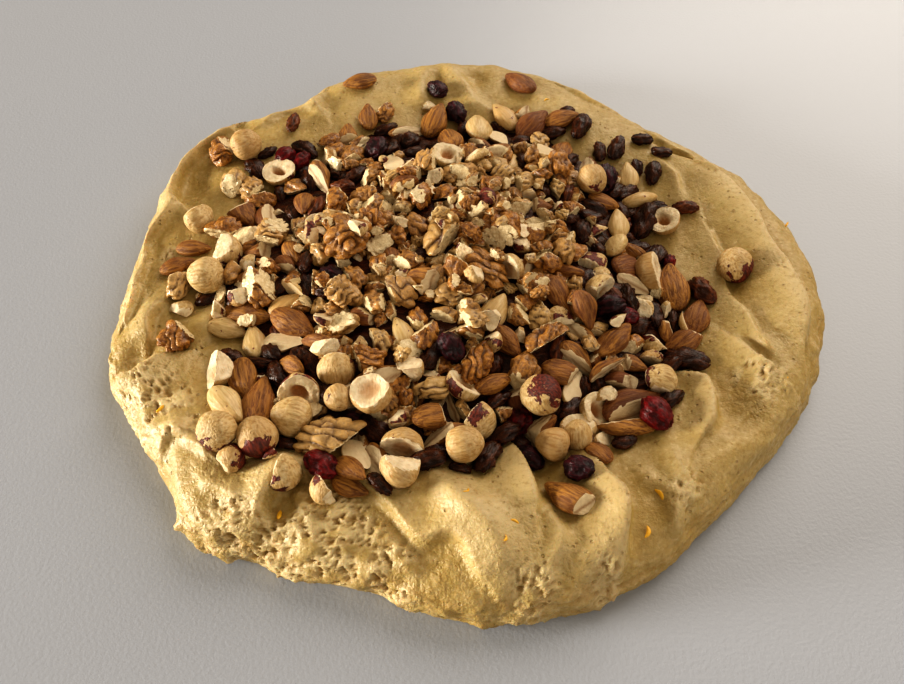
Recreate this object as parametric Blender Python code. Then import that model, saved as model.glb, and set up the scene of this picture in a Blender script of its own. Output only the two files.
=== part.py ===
"""Raw stollen dough pressed out into a thick round, heaped with nuts and dried fruit.

One soft slab of dough carries a low heap, and single nuts and raisins lie on the dough around it.
The frame is in metres, +Z up, with the origin on the table under the middle of the slab. +X is to
the right and -Y is the front, where the dough was pulled into long finger-shaped folds.
"""

import math

import bmesh
import bpy
import numpy as np
from mathutils import Euler, Vector, noise
from mathutils.bvhtree import BVHTree

MM = 0.001
GAP = 0.3 * MM  # left between pieces that rest on each other

# The slab seen from above: a mean radius, and lobes that push its edge in or out. A lobe is
# (direction in degrees, half spread in degrees, change in mm), with 0 degrees along +X.
DOUGH_RADIUS = 144
DOUGH_LOBES = (
    (50, 22, -16.5),  # flattened side at the rear right
    (130, 6, -8),  # notch between the rear and the rear left lobe
    (149, 14, 8),  # rear left lobe
    (199, 12, 5),  # left corner
    (230, 6, 7),  # torn front left corner
    (255, 10, -6),
    (315, 20, -8.5),  # straight stretch at the front right
    (355, 12, 1.5),
)
BASIN_HEIGHT = 13  # the dough under the heap, pressed thin by hand
CREST_HEIGHT = 21  # the rim around it
CREST_LOBES = ((275, 40, 3), (178, 34, -5), (60, 30, -1), (340, 25, 2))
# How far in from the edge the top rounds over. The front is a long slope, the torn sides are steep.
EDGE_ROUND = 15
EDGE_LOBES = ((262, 34, 12), (322, 16, -5), (178, 30, -4))
WIDEST_HEIGHT = 5.5  # the side bulges out a little above the table
UNDERCUT = 3.5  # how far the foot stands back from the bulge

# The heap's outline about the same centre, in the same terms.
HEAP_RADIUS = 104
HEAP_LOBES = (
    (8, 20, -26),  # drawn in on the right, where the dough lies bare
    (50, 12, -5),
    (97, 10, -3),
    (122, 12, 8),
    (155, 16, 8),
    (182, 14, 18),  # left corner
    (224, 14, 21),  # front left corner
    (245, 9, 8),
    (270, 12, -8),
    (282, 7, -12),  # the second finger of dough reaches in here
    (306, 10, -7),
    (325, 14, -5),
)
HEAP_HEIGHT = 29  # above the basin, at the middle
HEAP_LUMP = 4  # unevenness of its top
HEAP_LUMP_LENGTH = 19

# Rings of the slab's mesh. The rings under the heap are shared with the heap's underside.
HEAP_RINGS = 13
RIM_RINGS = 7
SIDE_STEPS = 5

# Folds pulled up in the dough: (name, points in mm, height, soft width, steep width, drop). The
# steep side is on the right of someone walking along the points, and the dough beyond it lies
# lower by the drop.
FOLDS = (
    (
        "front pocket lip",
        ((-40, -100), (-28, -113), (-17, -121), (-7, -121), (-2, -129)),
        3.5, 10, 2.6, 2,
    ),
    ("first finger", ((-14, -96), (-6, -112), (0, -125), (3, -134)), 3.5, 6, 5, 0),
    ("second finger", ((21, -115), (15, -103), (8, -85)), 4.5, 8, 3.5, 1.5),
    ("third finger", ((46, -138), (49, -122), (46, -110), (41, -97)), 6, 13, 3, 2.5),
    ("front right crease", ((65, -115), (69, -106), (70, -97), (66, -88)), 3, 5, 5, 0),
    ("side finger", ((83, -80), (84, -70), (82, -58), (78, -48)), 5, 6, 3, 1.5),
    ("right crest", ((127, -26), (124, 5), (120, 28), (112, 48), (100, 60)), 4.5, 14, 4, 3.5),
    ("rear right wrinkle", ((93, 41), (91, 52), (87, 62)), 2, 4, 3, 0),
    ("rear ridge", ((10, 98), (2, 108), (-5, 120), (-8, 132)), 3.5, 6, 5, 0),
    ("rear left ridge", ((-22, 106), (-24, 118), (-20, 130)), 3, 5, 5, 0),
    ("rear wrinkle", ((-70, 96), (-74, 104), (-72, 112)), 2.5, 5, 3.5, 0),
    ("rear left roll", ((-122, 32), (-133, 40), (-134, 52), (-128, 66), (-117, 80)), 5, 9, 3.6, 2),
    ("left ridge", ((-100, -20), (-106, -26), (-110, -35)), 3, 8, 3, 1),
    ("left hollow lip", ((-114, -44), (-127, -50), (-139, -53)), 3.5, 9, 3, 1.5),
    ("front left lip", ((-114, -89), (-109, -83), (-103, -78)), 3.5, 5, 2.6, 1.5),
    ("front left crease", ((-102, -86), (-92, -91)), 2, 5, 2.5, 0.5),
    ("front left ridge", ((-77, -116), (-71, -107), (-67, -99), (-60, -95)), 4, 8, 3, 1.5),
)
# Dents of a thumb or a knuckle: (x, y, radius, depth) in mm.
DENTS = (
    (-128, -44, 10, 4.5),  # left hollow
    (-124, 51, 8, 3),  # behind the rear left roll
    (-17, 121, 6, 2.5),
    (4, 124, 6, 2.5),
    (24, 121, 8, 2),  # under the almond at the rear
    (106, -7, 9, 2),  # under the hazelnut on the right
    (94, -72, 7, 2.5),
    (-118, -76, 8, 1.5),
    (33, -112, 7, 2.5),  # between the second and the third finger
)
STEEPEST = 4.5  # the narrowest slope that the mesh can show
SWELL = 1.3  # gentle unevenness of the whole surface
SWELL_LENGTH = 26

# What lies on the dough apart from the heap: (name, kind, x, y, yaw, tilt, size) in mm and
# degrees. Size is the length, or the diameter of a hazelnut.
LOOSE = (
    ("hazelnut_right", "hazelnut", 107, -3, 20, 60, 14.5),
    ("sultana_right", "sultana", 94, 33, 150, 0, 12.5),
    ("raisin_rear_right", "raisin", 80, 75, 170, 0, 11),
    ("raisin_rear_right_2", "raisin", 88, 67, 150, 0, 10.5),
    ("almond_rear", "almond", 25, 117, 150, 8, 21),
    ("cherry_rear", "cherry", -15, 112, 0, 0, 12),
    ("almond_rear_left", "almond", -53, 114, 200, 10, 17),
    ("sultana_rear_left", "sultana", -83, 87, 80, 0, 13),
    ("hazelnut_rear_left", "hazelnut", -101, 69, 250, 75, 14),
    ("walnut_rear_left", "walnut", -113, 70, 100, 0, 17),
    ("walnut_left", "walnut", -115, -37, 60, 0, 19),
    ("almond_front", "almond", 30, -107, 143, 10, 22),
)

# Linear colour and roughness of the dough, the heap and each kind of loose piece.
DOUGH_LOOK = ((0.72, 0.52, 0.24), 0.55)
HEAP_LOOK = ((0.36, 0.20, 0.09), 0.6)
KINDS = {
    "almond": ((0.36, 0.15, 0.055), 0.65),
    "hazelnut": ((0.70, 0.50, 0.28), 0.5),
    "walnut": ((0.45, 0.24, 0.10), 0.5),
    "raisin": ((0.06, 0.018, 0.014), 0.35),
    "sultana": ((0.20, 0.065, 0.02), 0.35),
    "cherry": ((0.10, 0.012, 0.02), 0.35),
}


def lobed(base, lobes, angle):
    """The base value with its lobes added, at an array of angles in radians."""
    value = np.full_like(angle, float(base))
    for direction, spread, change in lobes:
        away = (np.degrees(angle) - direction + 180) % 360 - 180
        value += change * np.exp(-((away / spread) ** 2))
    return value


def smooth(value):
    """A soft step from 0 to 1 as the value goes from 0 to 1."""
    value = np.clip(value, 0, 1)
    return value * value * (3 - 2 * value)


def smooth_path(points, steps=6):
    """A Catmull-Rom curve through the points."""
    padded = np.array([points[0], *points, points[-1]], float)
    t = np.linspace(0, 1, steps, endpoint=False)[:, None]
    path = []
    for a, b, c, d in zip(padded, padded[1:], padded[2:], padded[3:]):
        bend = (2 * a - 5 * b + 4 * c - d) * t**2 + (3 * b - a - 3 * c + d) * t**3
        path.append(b + 0.5 * ((c - a) * t + bend))
    return np.vstack([*path, padded[-1]])


def fold_height(x, y, points, height, soft, steep, drop):
    """What one fold adds to the dough at (x, y), all in mm."""
    path = smooth_path(points)
    nearest = np.full(x.shape, np.inf)
    signed = np.zeros(x.shape)
    along = np.zeros(x.shape)
    for i, (start, end) in enumerate(zip(path, path[1:])):
        run = end - start
        share = ((x - start[0]) * run[0] + (y - start[1]) * run[1]) / (run @ run)
        held = np.clip(share, 0, 1)
        dx = x - start[0] - held * run[0]
        dy = y - start[1] - held * run[1]
        distance = np.hypot(dx, dy)
        closer = distance < nearest
        side = np.where(run[1] * dx - run[0] * dy > 0, 1, -1)
        nearest = np.where(closer, distance, nearest)
        signed = np.where(closer, side * distance, signed)
        along = np.where(closer, (i + held) / (len(path) - 1), along)
    taper = np.sqrt(np.clip(np.sin(math.pi * (0.06 + 0.88 * along)), 0, 1))
    ridge = np.exp(-((nearest / np.where(signed > 0, max(steep, STEEPEST), soft)) ** 2))
    below = np.where(signed > 0, (1 - ridge) * np.exp(-((nearest / (2.2 * soft)) ** 2)), 0)
    return taper * (height * ridge - drop * below)


def unevenness(x, y, length, layer):
    """Smooth noise between -1 and 1 at arrays x and y, with lumps of the given length in mm."""
    value = [noise.noise((px / length, py / length, layer)) for px, py in zip(x, y)]
    return np.array(value)


def relief(x, y):
    """Folds, dents and swell of the dough's surface at arrays x and y, in mm."""
    total = np.zeros(x.shape)
    for _, points, height, soft, steep, drop in FOLDS:
        total += fold_height(x, y, points, height, soft, steep, drop)
    for dent_x, dent_y, radius, depth in DENTS:
        total -= depth * np.exp(-((x - dent_x) ** 2 + (y - dent_y) ** 2) / radius**2)
    return total + SWELL * unevenness(x, y, SWELL_LENGTH, 0.5)


def dough_top(ring, angle):
    """Points of the slab's top in mm. Ring 0 is the middle, and the last ring is the rim's crest."""
    heap = lobed(HEAP_RADIUS, HEAP_LOBES, angle)
    crest = lobed(DOUGH_RADIUS, DOUGH_LOBES, angle) - lobed(EDGE_ROUND, EDGE_LOBES, angle)
    outward = (ring - HEAP_RINGS) / RIM_RINGS
    radius = np.where(ring <= HEAP_RINGS, heap * ring / HEAP_RINGS, heap + (crest - heap) * outward)
    x = radius * np.cos(angle)
    y = radius * np.sin(angle)
    rise = smooth((radius / crest - 0.55) / 0.42)
    z = BASIN_HEIGHT + (lobed(CREST_HEIGHT, CREST_LOBES, angle) - BASIN_HEIGHT) * rise
    return x, y, z + relief(x, y)


def dough_side(step, angle):
    """Points of one loop around the slab's side in mm, from just under the crest to the foot."""
    turn = math.pi / 2 - math.pi * step / SIDE_STEPS
    edge = lobed(DOUGH_RADIUS, DOUGH_LOBES, angle)
    crest = lobed(CREST_HEIGHT, CREST_LOBES, angle)
    inset = lobed(EDGE_ROUND, EDGE_LOBES, angle) if turn > 0 else UNDERCUT
    radius = edge - inset * (1 - math.cos(turn))
    x = radius * np.cos(angle)
    y = radius * np.sin(angle)
    if turn < 0:
        return x, y, np.full_like(angle, WIDEST_HEIGHT * (1 + math.sin(turn)))
    rise = math.sin(turn)
    return x, y, WIDEST_HEIGHT + (crest - WIDEST_HEIGHT + relief(x, y)) * rise


def disc(mesh, rings, surface):
    """Adds a grid bent into a disc, whose ring k has 8k points, shaped by surface(ring, angle)."""
    made = bmesh.ops.create_grid(mesh, x_segments=2 * rings, y_segments=2 * rings, size=rings)
    across = np.array([vert.co[:2] for vert in made["verts"]])
    u, v = across[:, 0], across[:, 1]
    ring = np.round(np.maximum(abs(u), abs(v)))
    wide = abs(u) >= abs(v)
    small = np.where(wide, v, u) / np.where(ring > 0, np.where(wide, u, v), 1)
    angle = np.where(wide, small * math.pi / 4 + np.where(u < 0, math.pi, 0), 0)
    angle = np.where(wide, angle, math.pi / 2 - small * math.pi / 4 + np.where(v < 0, math.pi, 0))
    for vert, *point in zip(made["verts"], *surface(ring, angle)):
        vert.co = Vector(point) * MM
    return made["verts"]


def add_object(name, mesh, look, smooth_angle=50):
    """Makes a mesh object with its own material from a bmesh."""
    data = bpy.data.meshes.new(name)
    bmesh.ops.recalc_face_normals(mesh, faces=mesh.faces)
    mesh.to_mesh(data)
    mesh.free()
    data.shade_smooth()
    data.set_sharp_from_angle(angle=math.radians(smooth_angle))
    colour, roughness = look
    material = bpy.data.materials.new(name)
    material.use_nodes = True
    shader = material.node_tree.nodes["Principled BSDF"]
    shader.inputs["Base Color"].default_value = (*colour, 1)
    shader.inputs["Roughness"].default_value = roughness
    shader.inputs["Metallic"].default_value = 0
    data.materials.append(material)
    made = bpy.data.objects.new(name, data)
    bpy.data.collections["Stollen"].objects.link(made)
    return made


def make_dough():
    """The slab: a disc for its top, loops extruded down its side, and one flat face under it."""
    mesh = bmesh.new()
    disc(mesh, HEAP_RINGS + RIM_RINGS, dough_top)
    for step in range(1, SIDE_STEPS + 1):
        border = [edge for edge in mesh.edges if edge.is_boundary]
        made = bmesh.ops.extrude_edge_only(mesh, edges=border)
        loop = [item for item in made["geom"] if isinstance(item, bmesh.types.BMVert)]
        angle = np.array([math.atan2(vert.co.y, vert.co.x) for vert in loop])
        for vert, *point in zip(loop, *dough_side(step, angle)):
            vert.co = Vector(point) * MM
    bmesh.ops.contextual_create(mesh, geom=[edge for edge in mesh.edges if edge.is_boundary])
    return add_object("dough", mesh, DOUGH_LOOK)


def heap_underside(ring, angle):
    """The dough's own surface, a gap higher."""
    x, y, z = dough_top(ring, angle)
    return x, y, z + GAP / MM


def heap_top(ring, angle):
    """The heap's uneven top, which meets its underside at the outline."""
    x, y, z = heap_underside(ring, angle)
    share = ring / HEAP_RINGS
    dome = np.clip(1 - share**2.2, 0, 1) ** 0.6
    lump = unevenness(x, y, HEAP_LUMP_LENGTH, 7.0)
    sunk = z - BASIN_HEIGHT  # the heap levels out the dough's own relief
    return x, y, z + np.where(share < 1, dome * (HEAP_HEIGHT - 0.8 * sunk + HEAP_LUMP * lump), 0)


def make_heap():
    """The heap as one solid: the underside that follows the dough, and the top over it."""
    mesh = bmesh.new()
    disc(mesh, HEAP_RINGS, heap_underside)
    disc(mesh, HEAP_RINGS, heap_top)
    bmesh.ops.remove_doubles(mesh, verts=mesh.verts, dist=0.01 * MM)
    return add_object("nut_and_fruit_heap", mesh, HEAP_LOOK)


def shape_almond(point):
    """A flat drop: round at one end and pointed at the other, 1 long, lying along X."""
    taper = 1 - 0.42 * smooth(point.x + 0.15)
    flat = 0.19 * (1 - 0.25 * max(point.x, 0))
    return Vector((0.5 * point.x, 0.30 * taper * point.y, flat * point.z))


def shape_hazelnut(point):
    """A ball with a blunt tip and a flattened foot, 1 across, standing along Z."""
    tip = 0.07 * max(point.z, 0) ** 4
    foot = 0.82 if point.z < 0 else 1
    return Vector((0.5 * point.x, 0.5 * point.y, 0.48 * foot * point.z + tip))


def shape_walnut(point):
    """A broken walnut quarter, with the deep folds of the kernel."""
    fold = 0.10 * math.sin(7 * point.x + 3 * math.sin(5 * point.y)) * math.cos(6 * point.y)
    lobe = 0.9 + 0.28 * noise.noise(point * 1.7 + Vector((3, 1, 4))) + fold
    return Vector((0.5 * point.x, 0.37 * point.y, 0.25 * point.z)) * lobe


def shape_raisin(point):
    """A dried berry, drawn in by long wrinkles."""
    turn = math.atan2(point.z, point.y)
    wrinkle = 1 - 0.10 * (0.5 + 0.5 * math.cos(5 * turn + 2.4 * point.x)) * (1 - point.x**2)
    return Vector((0.5 * point.x, 0.30 * point.y * wrinkle, 0.24 * point.z * wrinkle))


def shape_cherry(point):
    """A dried sour cherry: a round fruit with a sunken, puckered skin."""
    pucker = 1 - 0.07 * (0.5 + 0.5 * math.sin(6 * point.x + 4 * point.z) * math.sin(5 * point.y))
    return Vector((0.5 * point.x, 0.47 * point.y, 0.43 * point.z)) * pucker


SHAPES = {
    "almond": shape_almond,
    "hazelnut": shape_hazelnut,
    "walnut": shape_walnut,
    "raisin": shape_raisin,
    "sultana": shape_raisin,
    "cherry": shape_cherry,
}


def rest_on(piece, ground):
    """Lowers the piece on to the ground, a tree of its triangles, until the gap is all that is left."""
    down = Vector((0, 0, -1))
    room = math.inf
    for vert in piece.data.vertices:
        corner = piece.matrix_world @ vert.co
        hit, _, _, distance = ground.ray_cast(corner, down)
        if hit is not None:
            room = min(room, distance)
    piece.location.z -= room - GAP


def make_loose(name, kind, x, y, yaw, tilt, size, ground):
    """One nut or fruit on the dough, turned as it lies."""
    mesh = bmesh.new()
    bmesh.ops.create_uvsphere(mesh, u_segments=12, v_segments=8, radius=1)
    for vert in mesh.verts:
        vert.co = SHAPES[kind](vert.co) * size * MM
    piece = add_object(name, mesh, KINDS[kind])
    piece.rotation_euler = Euler((0, math.radians(tilt), math.radians(yaw)))
    piece.location = (x * MM, y * MM, 60 * MM)
    bpy.context.view_layer.update()
    rest_on(piece, ground)
    return piece


def clear_scene():
    """Empties the file and makes the part's collection."""
    for old in list(bpy.data.objects):
        bpy.data.objects.remove(old)
    bpy.context.scene.collection.children.link(bpy.data.collections.new("Stollen"))


def main():
    clear_scene()
    dough = make_dough()
    make_heap()
    ground = BVHTree.FromObject(dough, bpy.context.evaluated_depsgraph_get())
    for loose in LOOSE:
        make_loose(*loose, ground)


main()
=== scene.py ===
"""Looks of a raw stollen dough: a hand-pressed round heaped with nuts and dried fruit.

The dough is one fine mesh over the CAD slab, with its folds, torn edges and pores. The heap is
real pieces at their true size: they are let down together over a small dark core and pushed apart
by balls that stand in for them, so that neighbours still overlap a little. Those of one kind are
joined into one mesh. Lengths are in mm until a mesh is made, with the frame's origin under the
middle of the slab and -Y at the front.
"""

import math

import bmesh
import bpy
import numpy as np
from mathutils import Matrix, Vector, noise


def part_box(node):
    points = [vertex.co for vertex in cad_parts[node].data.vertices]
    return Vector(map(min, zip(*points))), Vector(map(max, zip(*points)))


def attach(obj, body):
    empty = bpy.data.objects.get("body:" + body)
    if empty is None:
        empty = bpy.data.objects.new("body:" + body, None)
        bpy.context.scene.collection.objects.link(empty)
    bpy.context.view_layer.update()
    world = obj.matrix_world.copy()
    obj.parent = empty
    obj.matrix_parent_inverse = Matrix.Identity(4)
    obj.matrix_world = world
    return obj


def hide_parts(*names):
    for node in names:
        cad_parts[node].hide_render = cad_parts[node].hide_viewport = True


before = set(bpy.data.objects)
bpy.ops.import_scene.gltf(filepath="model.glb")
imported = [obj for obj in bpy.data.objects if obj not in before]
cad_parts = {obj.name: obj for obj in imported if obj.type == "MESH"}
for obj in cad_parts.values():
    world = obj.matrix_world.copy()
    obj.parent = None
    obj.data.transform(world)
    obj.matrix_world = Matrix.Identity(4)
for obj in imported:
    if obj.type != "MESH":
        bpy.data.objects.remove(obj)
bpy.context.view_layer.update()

MM = 0.001
random = np.random.default_rng(24)

# ---------------------------------------------------------------------------------------------
# The slab, in the same terms as its CAD solid
# ---------------------------------------------------------------------------------------------

# A lobe is (direction in degrees, half spread in degrees, change in mm), 0 degrees along +X.
DOUGH_RADIUS = 144
DOUGH_LOBES = (
    (50, 22, -16.5),  # flattened side at the rear right
    (130, 6, -8),  # notch between the rear and the rear left lobe
    (149, 14, 8),  # rear left lobe
    (199, 12, 5),  # left corner
    (230, 6, 7),  # torn front left corner
    (255, 10, -6),
    (315, 20, -8.5),  # straight stretch at the front right
    (355, 12, 1.5),
)
BASIN_HEIGHT = 13
CREST_HEIGHT = 21
CREST_LOBES = ((275, 40, 3), (178, 34, -5), (60, 30, -1), (340, 25, 2))
EDGE_ROUND = 15
EDGE_LOBES = ((262, 34, 12), (322, 16, -5), (178, 30, -4))
WIDEST_HEIGHT = 5.5
UNDERCUT = 3.5

HEAP_RADIUS = 104
HEAP_LOBES = (
    (8, 20, -26),
    (50, 12, -5),
    (97, 10, -3),
    (122, 12, 8),
    (155, 16, 8),
    (182, 14, 18),
    (224, 14, 21),
    (245, 9, 8),
    (270, 12, -8),
    (282, 7, -12),
    (306, 10, -7),
    (325, 14, -5),
)
HEAP_HEIGHT = 29

# Folds: (points in mm, height, soft width, steep width, drop), the steep side on the right of
# someone walking along the points.
FOLDS = (
    (((-40, -101), (-28, -111), (-18, -120), (-8, -121), (-2, -126), (3, -134)), 2.4, 8, 1.4, 3.8),
    (((-15, -94), (-7, -107), (2, -116), (10, -130)), 5.5, 8, 6, 0),
    (((19, -111), (17, -97), (13, -84)), 5.5, 8, 1.7, 3.2),
    (((24, -136), (26, -122), (22, -110)), 2.6, 4, 3, 0.6),
    (((44, -135), (49, -119), (49, -107), (43, -94)), 6.5, 12, 1.4, 4.6),
    (((65, -117), (70, -104), (70, -92)), 3.8, 5, 4, 0),
    (((82, -80), (86, -71), (85, -58), (78, -52)), 5.5, 6, 1.7, 2.8),
    (((127, -40), (130, -24), (128, -8), (124, 8), (120, 30), (112, 50), (102, 60)), 4.5, 12, 1.9, 5.5),
    (((110, -54), (109, -36), (103, -16), (103, 2), (102, 18)), 2.6, 8, 1.6, 1.8),
    (((113, -58), (105, -50), (99, -40)), 3.2, 6, 1.6, 2.2),
    (((93, 41), (91, 52), (87, 62)), 2.4, 4, 2.0, 0.6),
    (((10, 98), (2, 108), (-5, 120), (-8, 132)), 3.5, 6, 4, 0),
    (((-22, 106), (-24, 118), (-20, 130)), 3, 5, 4, 0),
    (((-70, 96), (-74, 104), (-72, 112)), 2.8, 5, 2.2, 0.6),
    (((-126, 35), (-134, 42), (-134, 54), (-127, 73), (-114, 88)), 5.5, 7, 2.2, 4.5),
    (((-137, 6), (-139, 18), (-131, 33)), 3.8, 6, 2.2, 2.4),
    (((-139, -26), (-137, -12), (-136, 2)), 3.4, 4, 1.8, 1.8),
    (((-127, -37), (-128, -27), (-124, -18)), 3.2, 7, 1.8, 1.8),
    (((-106, -35), (-104, -26), (-98, -20)), 2.6, 7, 2.2, 1.2),
    (((-116, -46), (-129, -53), (-141, -54)), 4.8, 8, 2.0, 3.0),
    (((-115, -89), (-109, -80), (-102, -81)), 3.8, 5, 2.2, 1.6),
    (((-102, -84), (-92, -90)), 2.4, 5, 1.6, 0.8),
    (((-73, -113), (-70, -102), (-65, -96), (-58, -97)), 5.5, 8, 1.7, 3.6),
    (((108, -38), (112, -48), (114, -58)), 2.2, 5, 1.8, 1.2),
    (((58, -98), (64, -104), (66, -114)), 2.2, 4, 2.4, 0),
    (((-30, -118), (-24, -127), (-20, -136)), 1.6, 4, 3, 0.6),
    (((88, 78), (100, 66), (110, 54)), 2.4, 6, 1.8, 1.4),
    (((50, 116), (64, 108), (78, 96)), 2.2, 6, 2.2, 1.2),
    (((-98, 90), (-88, 98), (-76, 100)), 2.4, 5, 2.2, 1.0),
    (((-92, -100), (-84, -106), (-80, -116)), 2.2, 5, 2.0, 1.0),
)
# Dents: (x, y, radius, depth) in mm.
DENTS = (
    (-131, -45, 8, 3.5),
    (-125, 52, 8, 3),
    (-20, -112, 9, 1.5),
    (-17, 121, 6, 2.5),
    (4, 124, 6, 2.5),
    (24, 121, 8, 2),
    (106, -7, 9, 2),
    (94, -72, 7, 2.5),
    (-64, -108, 5, 2),
    (34, -108, 8, 2),
)
SWELL = 1.3
SWELL_LENGTH = 26

# What only the fine surface has. A patch is (x, y, radius, strength).
TORN = (  # torn open, with strands between the holes
    (-121, -66, 15, 1.0),
    (-108, -73, 9, 0.8),
    (-48, -119, 15, 1.0),
    (-66, -121, 12, 0.9),
    (-84, -114, 11, 0.8),
    (-28, -130, 11, 0.7),
    (-138, -16, 9, 0.6),
    (70, -103, 9, 0.6),
    (104, -60, 11, 0.6),
    (42, -133, 5, 1.0),
    (18, -136, 10, 0.55),
    (-126, 10, 8, 0.5),
)
ROUGH = (  # finely crumbled skin
    (-125, -55, 24, 1.0),
    (-85, -115, 30, 1.0),
    (-20, -134, 26, 0.9),
    (14, -138, 22, 0.9),
    (38, -134, 18, 0.8),
    (75, -105, 16, 0.7),
    (108, -65, 18, 0.9),
    (122, -40, 14, 0.6),
    (-135, -10, 20, 0.7),
    (-120, 60, 20, 0.4),
    (132, 10, 16, 0.4),
)
# Torn tips that stick out of the side: (x, y, height, length, width) in mm.
SPIKES = (
    (-106, -108, 5, 4.5, 1.8),
    (-107, -103, 10, 3.5, 1.6),
    (-101, -110, 8, 2.5, 1.5),
    (-84, -120, 4, 1.3, 1.6),
    (-60, -127, 5, 1.3, 1.8),
    (-138, -58, 10, 2.5, 2.0),
    (-142, -42, 12, 2.5, 2.2),
    (110, -60, 17, 3, 2.0),
    (44, -134, 8, 2.5, 2.0),
    (30, -138, 4, 3, 1.6),
    (4, -141, 4, 2.0, 5.0),
    (13, -141, 6, 1.8, 2.0),
)
HEAP_SHARE = 0.8  # the coarse rings reach this share of the heap's outline
COARSE_RINGS = 26
FINE_RINGS = 80
SIDE_STEPS = 60
UPPER_STEPS = 48  # of those, above the slab's widest height


def lobed(base, lobes, angle):
    """The base value with its lobes added, at an array of angles in radians."""
    value = np.full_like(angle, float(base))
    for direction, spread, change in lobes:
        away = (np.degrees(angle) - direction + 180) % 360 - 180
        value += change * np.exp(-((away / spread) ** 2))
    return value


def smooth(value):
    """A soft step from 0 to 1 as the value goes from 0 to 1."""
    value = np.clip(value, 0, 1)
    return value * value * (3 - 2 * value)


def field(points, length, shift=0.0):
    """Smooth noise between -1 and 1 at an array of points, with lumps of that length."""
    return np.array([noise.noise(p) for p in (np.asarray(points) / length + shift).tolist()])


def ridges(points, length, shift=0.0):
    """Noise from 0 to 1 that is 1 along thin winding lines."""
    return 1 - np.minimum(1, abs(field(points, length, shift)) * 2.6)


def cells(points, length, shift=0.0):
    """For each point, how far it is from the nearest cell's middle and from the cell's wall."""
    near = []
    for p in (np.asarray(points) / length + shift).tolist():
        distances, _ = noise.voronoi(p)
        near.append((distances[0], distances[1] - distances[0]))
    near = np.array(near)
    return near[:, 0], near[:, 1]


def patches(x, y, spots):
    """How strongly the patches cover each point, from 0 to about 1."""
    total = np.zeros(x.shape)
    for spot_x, spot_y, radius, strength in spots:
        reach = strength * np.exp(-((x - spot_x) ** 2 + (y - spot_y) ** 2) / radius**2)
        total = np.maximum(total, reach)
    return total


def smooth_path(points, steps=6):
    """A Catmull-Rom curve through the points."""
    padded = np.array([points[0], *points, points[-1]], float)
    t = np.linspace(0, 1, steps, endpoint=False)[:, None]
    path = []
    for a, b, c, d in zip(padded, padded[1:], padded[2:], padded[3:]):
        bend = (2 * a - 5 * b + 4 * c - d) * t**2 + (3 * b - a - 3 * c + d) * t**3
        path.append(b + 0.5 * ((c - a) * t + bend))
    return np.vstack([*path, padded[-1]])


def fold_height(x, y, points, height, soft, steep, drop):
    """What one fold adds to the dough at (x, y), all in mm."""
    path = smooth_path(points)
    nearest = np.full(x.shape, np.inf)
    signed = np.zeros(x.shape)
    along = np.zeros(x.shape)
    for i, (start, end) in enumerate(zip(path, path[1:])):
        run = end - start
        share = ((x - start[0]) * run[0] + (y - start[1]) * run[1]) / (run @ run)
        held = np.clip(share, 0, 1)
        dx = x - start[0] - held * run[0]
        dy = y - start[1] - held * run[1]
        distance = np.hypot(dx, dy)
        closer = distance < nearest
        side = np.where(run[1] * dx - run[0] * dy > 0, 1, -1)
        nearest = np.where(closer, distance, nearest)
        signed = np.where(closer, side * distance, signed)
        along = np.where(closer, (i + held) / (len(path) - 1), along)
    taper = np.sqrt(np.clip(np.sin(math.pi * (0.06 + 0.88 * along)), 0, 1))
    ridge = np.exp(-((nearest / np.where(signed > 0, steep, soft)) ** 2))
    below = np.where(signed > 0, (1 - ridge) * np.exp(-((nearest / (2.2 * soft)) ** 2)), 0)
    return taper * (height * ridge - drop * below)


def relief(x, y):
    """Folds, dents and swell of the dough's surface at arrays x and y, in mm."""
    flat = np.column_stack([x, y, np.zeros_like(x)])
    wavy = 2.2 * np.column_stack([field(flat, 14, 3.1), field(flat, 14, 8.7)])
    total = np.zeros(x.shape)
    for points, height, soft, steep, drop in FOLDS:
        total += fold_height(x + wavy[:, 0], y + wavy[:, 1], points, height, soft, steep, drop)
    for dent_x, dent_y, radius, depth in DENTS:
        total -= depth * np.exp(-((x - dent_x) ** 2 + (y - dent_y) ** 2) / radius**2)
    return total + SWELL * field(flat + (0, 0, 0.5 * SWELL_LENGTH), SWELL_LENGTH)


def crest_radius(angle):
    """How far from the middle the rim's crest runs."""
    return lobed(DOUGH_RADIUS, DOUGH_LOBES, angle) - lobed(EDGE_ROUND, EDGE_LOBES, angle)


def dough_base(radius, angle):
    """The slab's top in mm at a distance from the middle, with its folds."""
    crest = crest_radius(angle)
    x = radius * np.cos(angle)
    y = radius * np.sin(angle)
    rise = smooth((radius / crest - 0.55) / 0.42)
    height = BASIN_HEIGHT + (lobed(CREST_HEIGHT, CREST_LOBES, angle) - BASIN_HEIGHT) * rise
    return x, y, height + relief(x, y)


def dough_top(ring, angle):
    """Points of the slab's top. Ring 0 is the middle, and the last ring is the rim's crest."""
    heap = HEAP_SHARE * lobed(HEAP_RADIUS, HEAP_LOBES, angle)
    crest = crest_radius(angle)
    outward = (ring - COARSE_RINGS) / FINE_RINGS
    inside = heap * ring / COARSE_RINGS
    radius = np.where(ring <= COARSE_RINGS, inside, heap + (crest - heap) * outward)
    return np.column_stack(dough_base(radius, angle))


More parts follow.
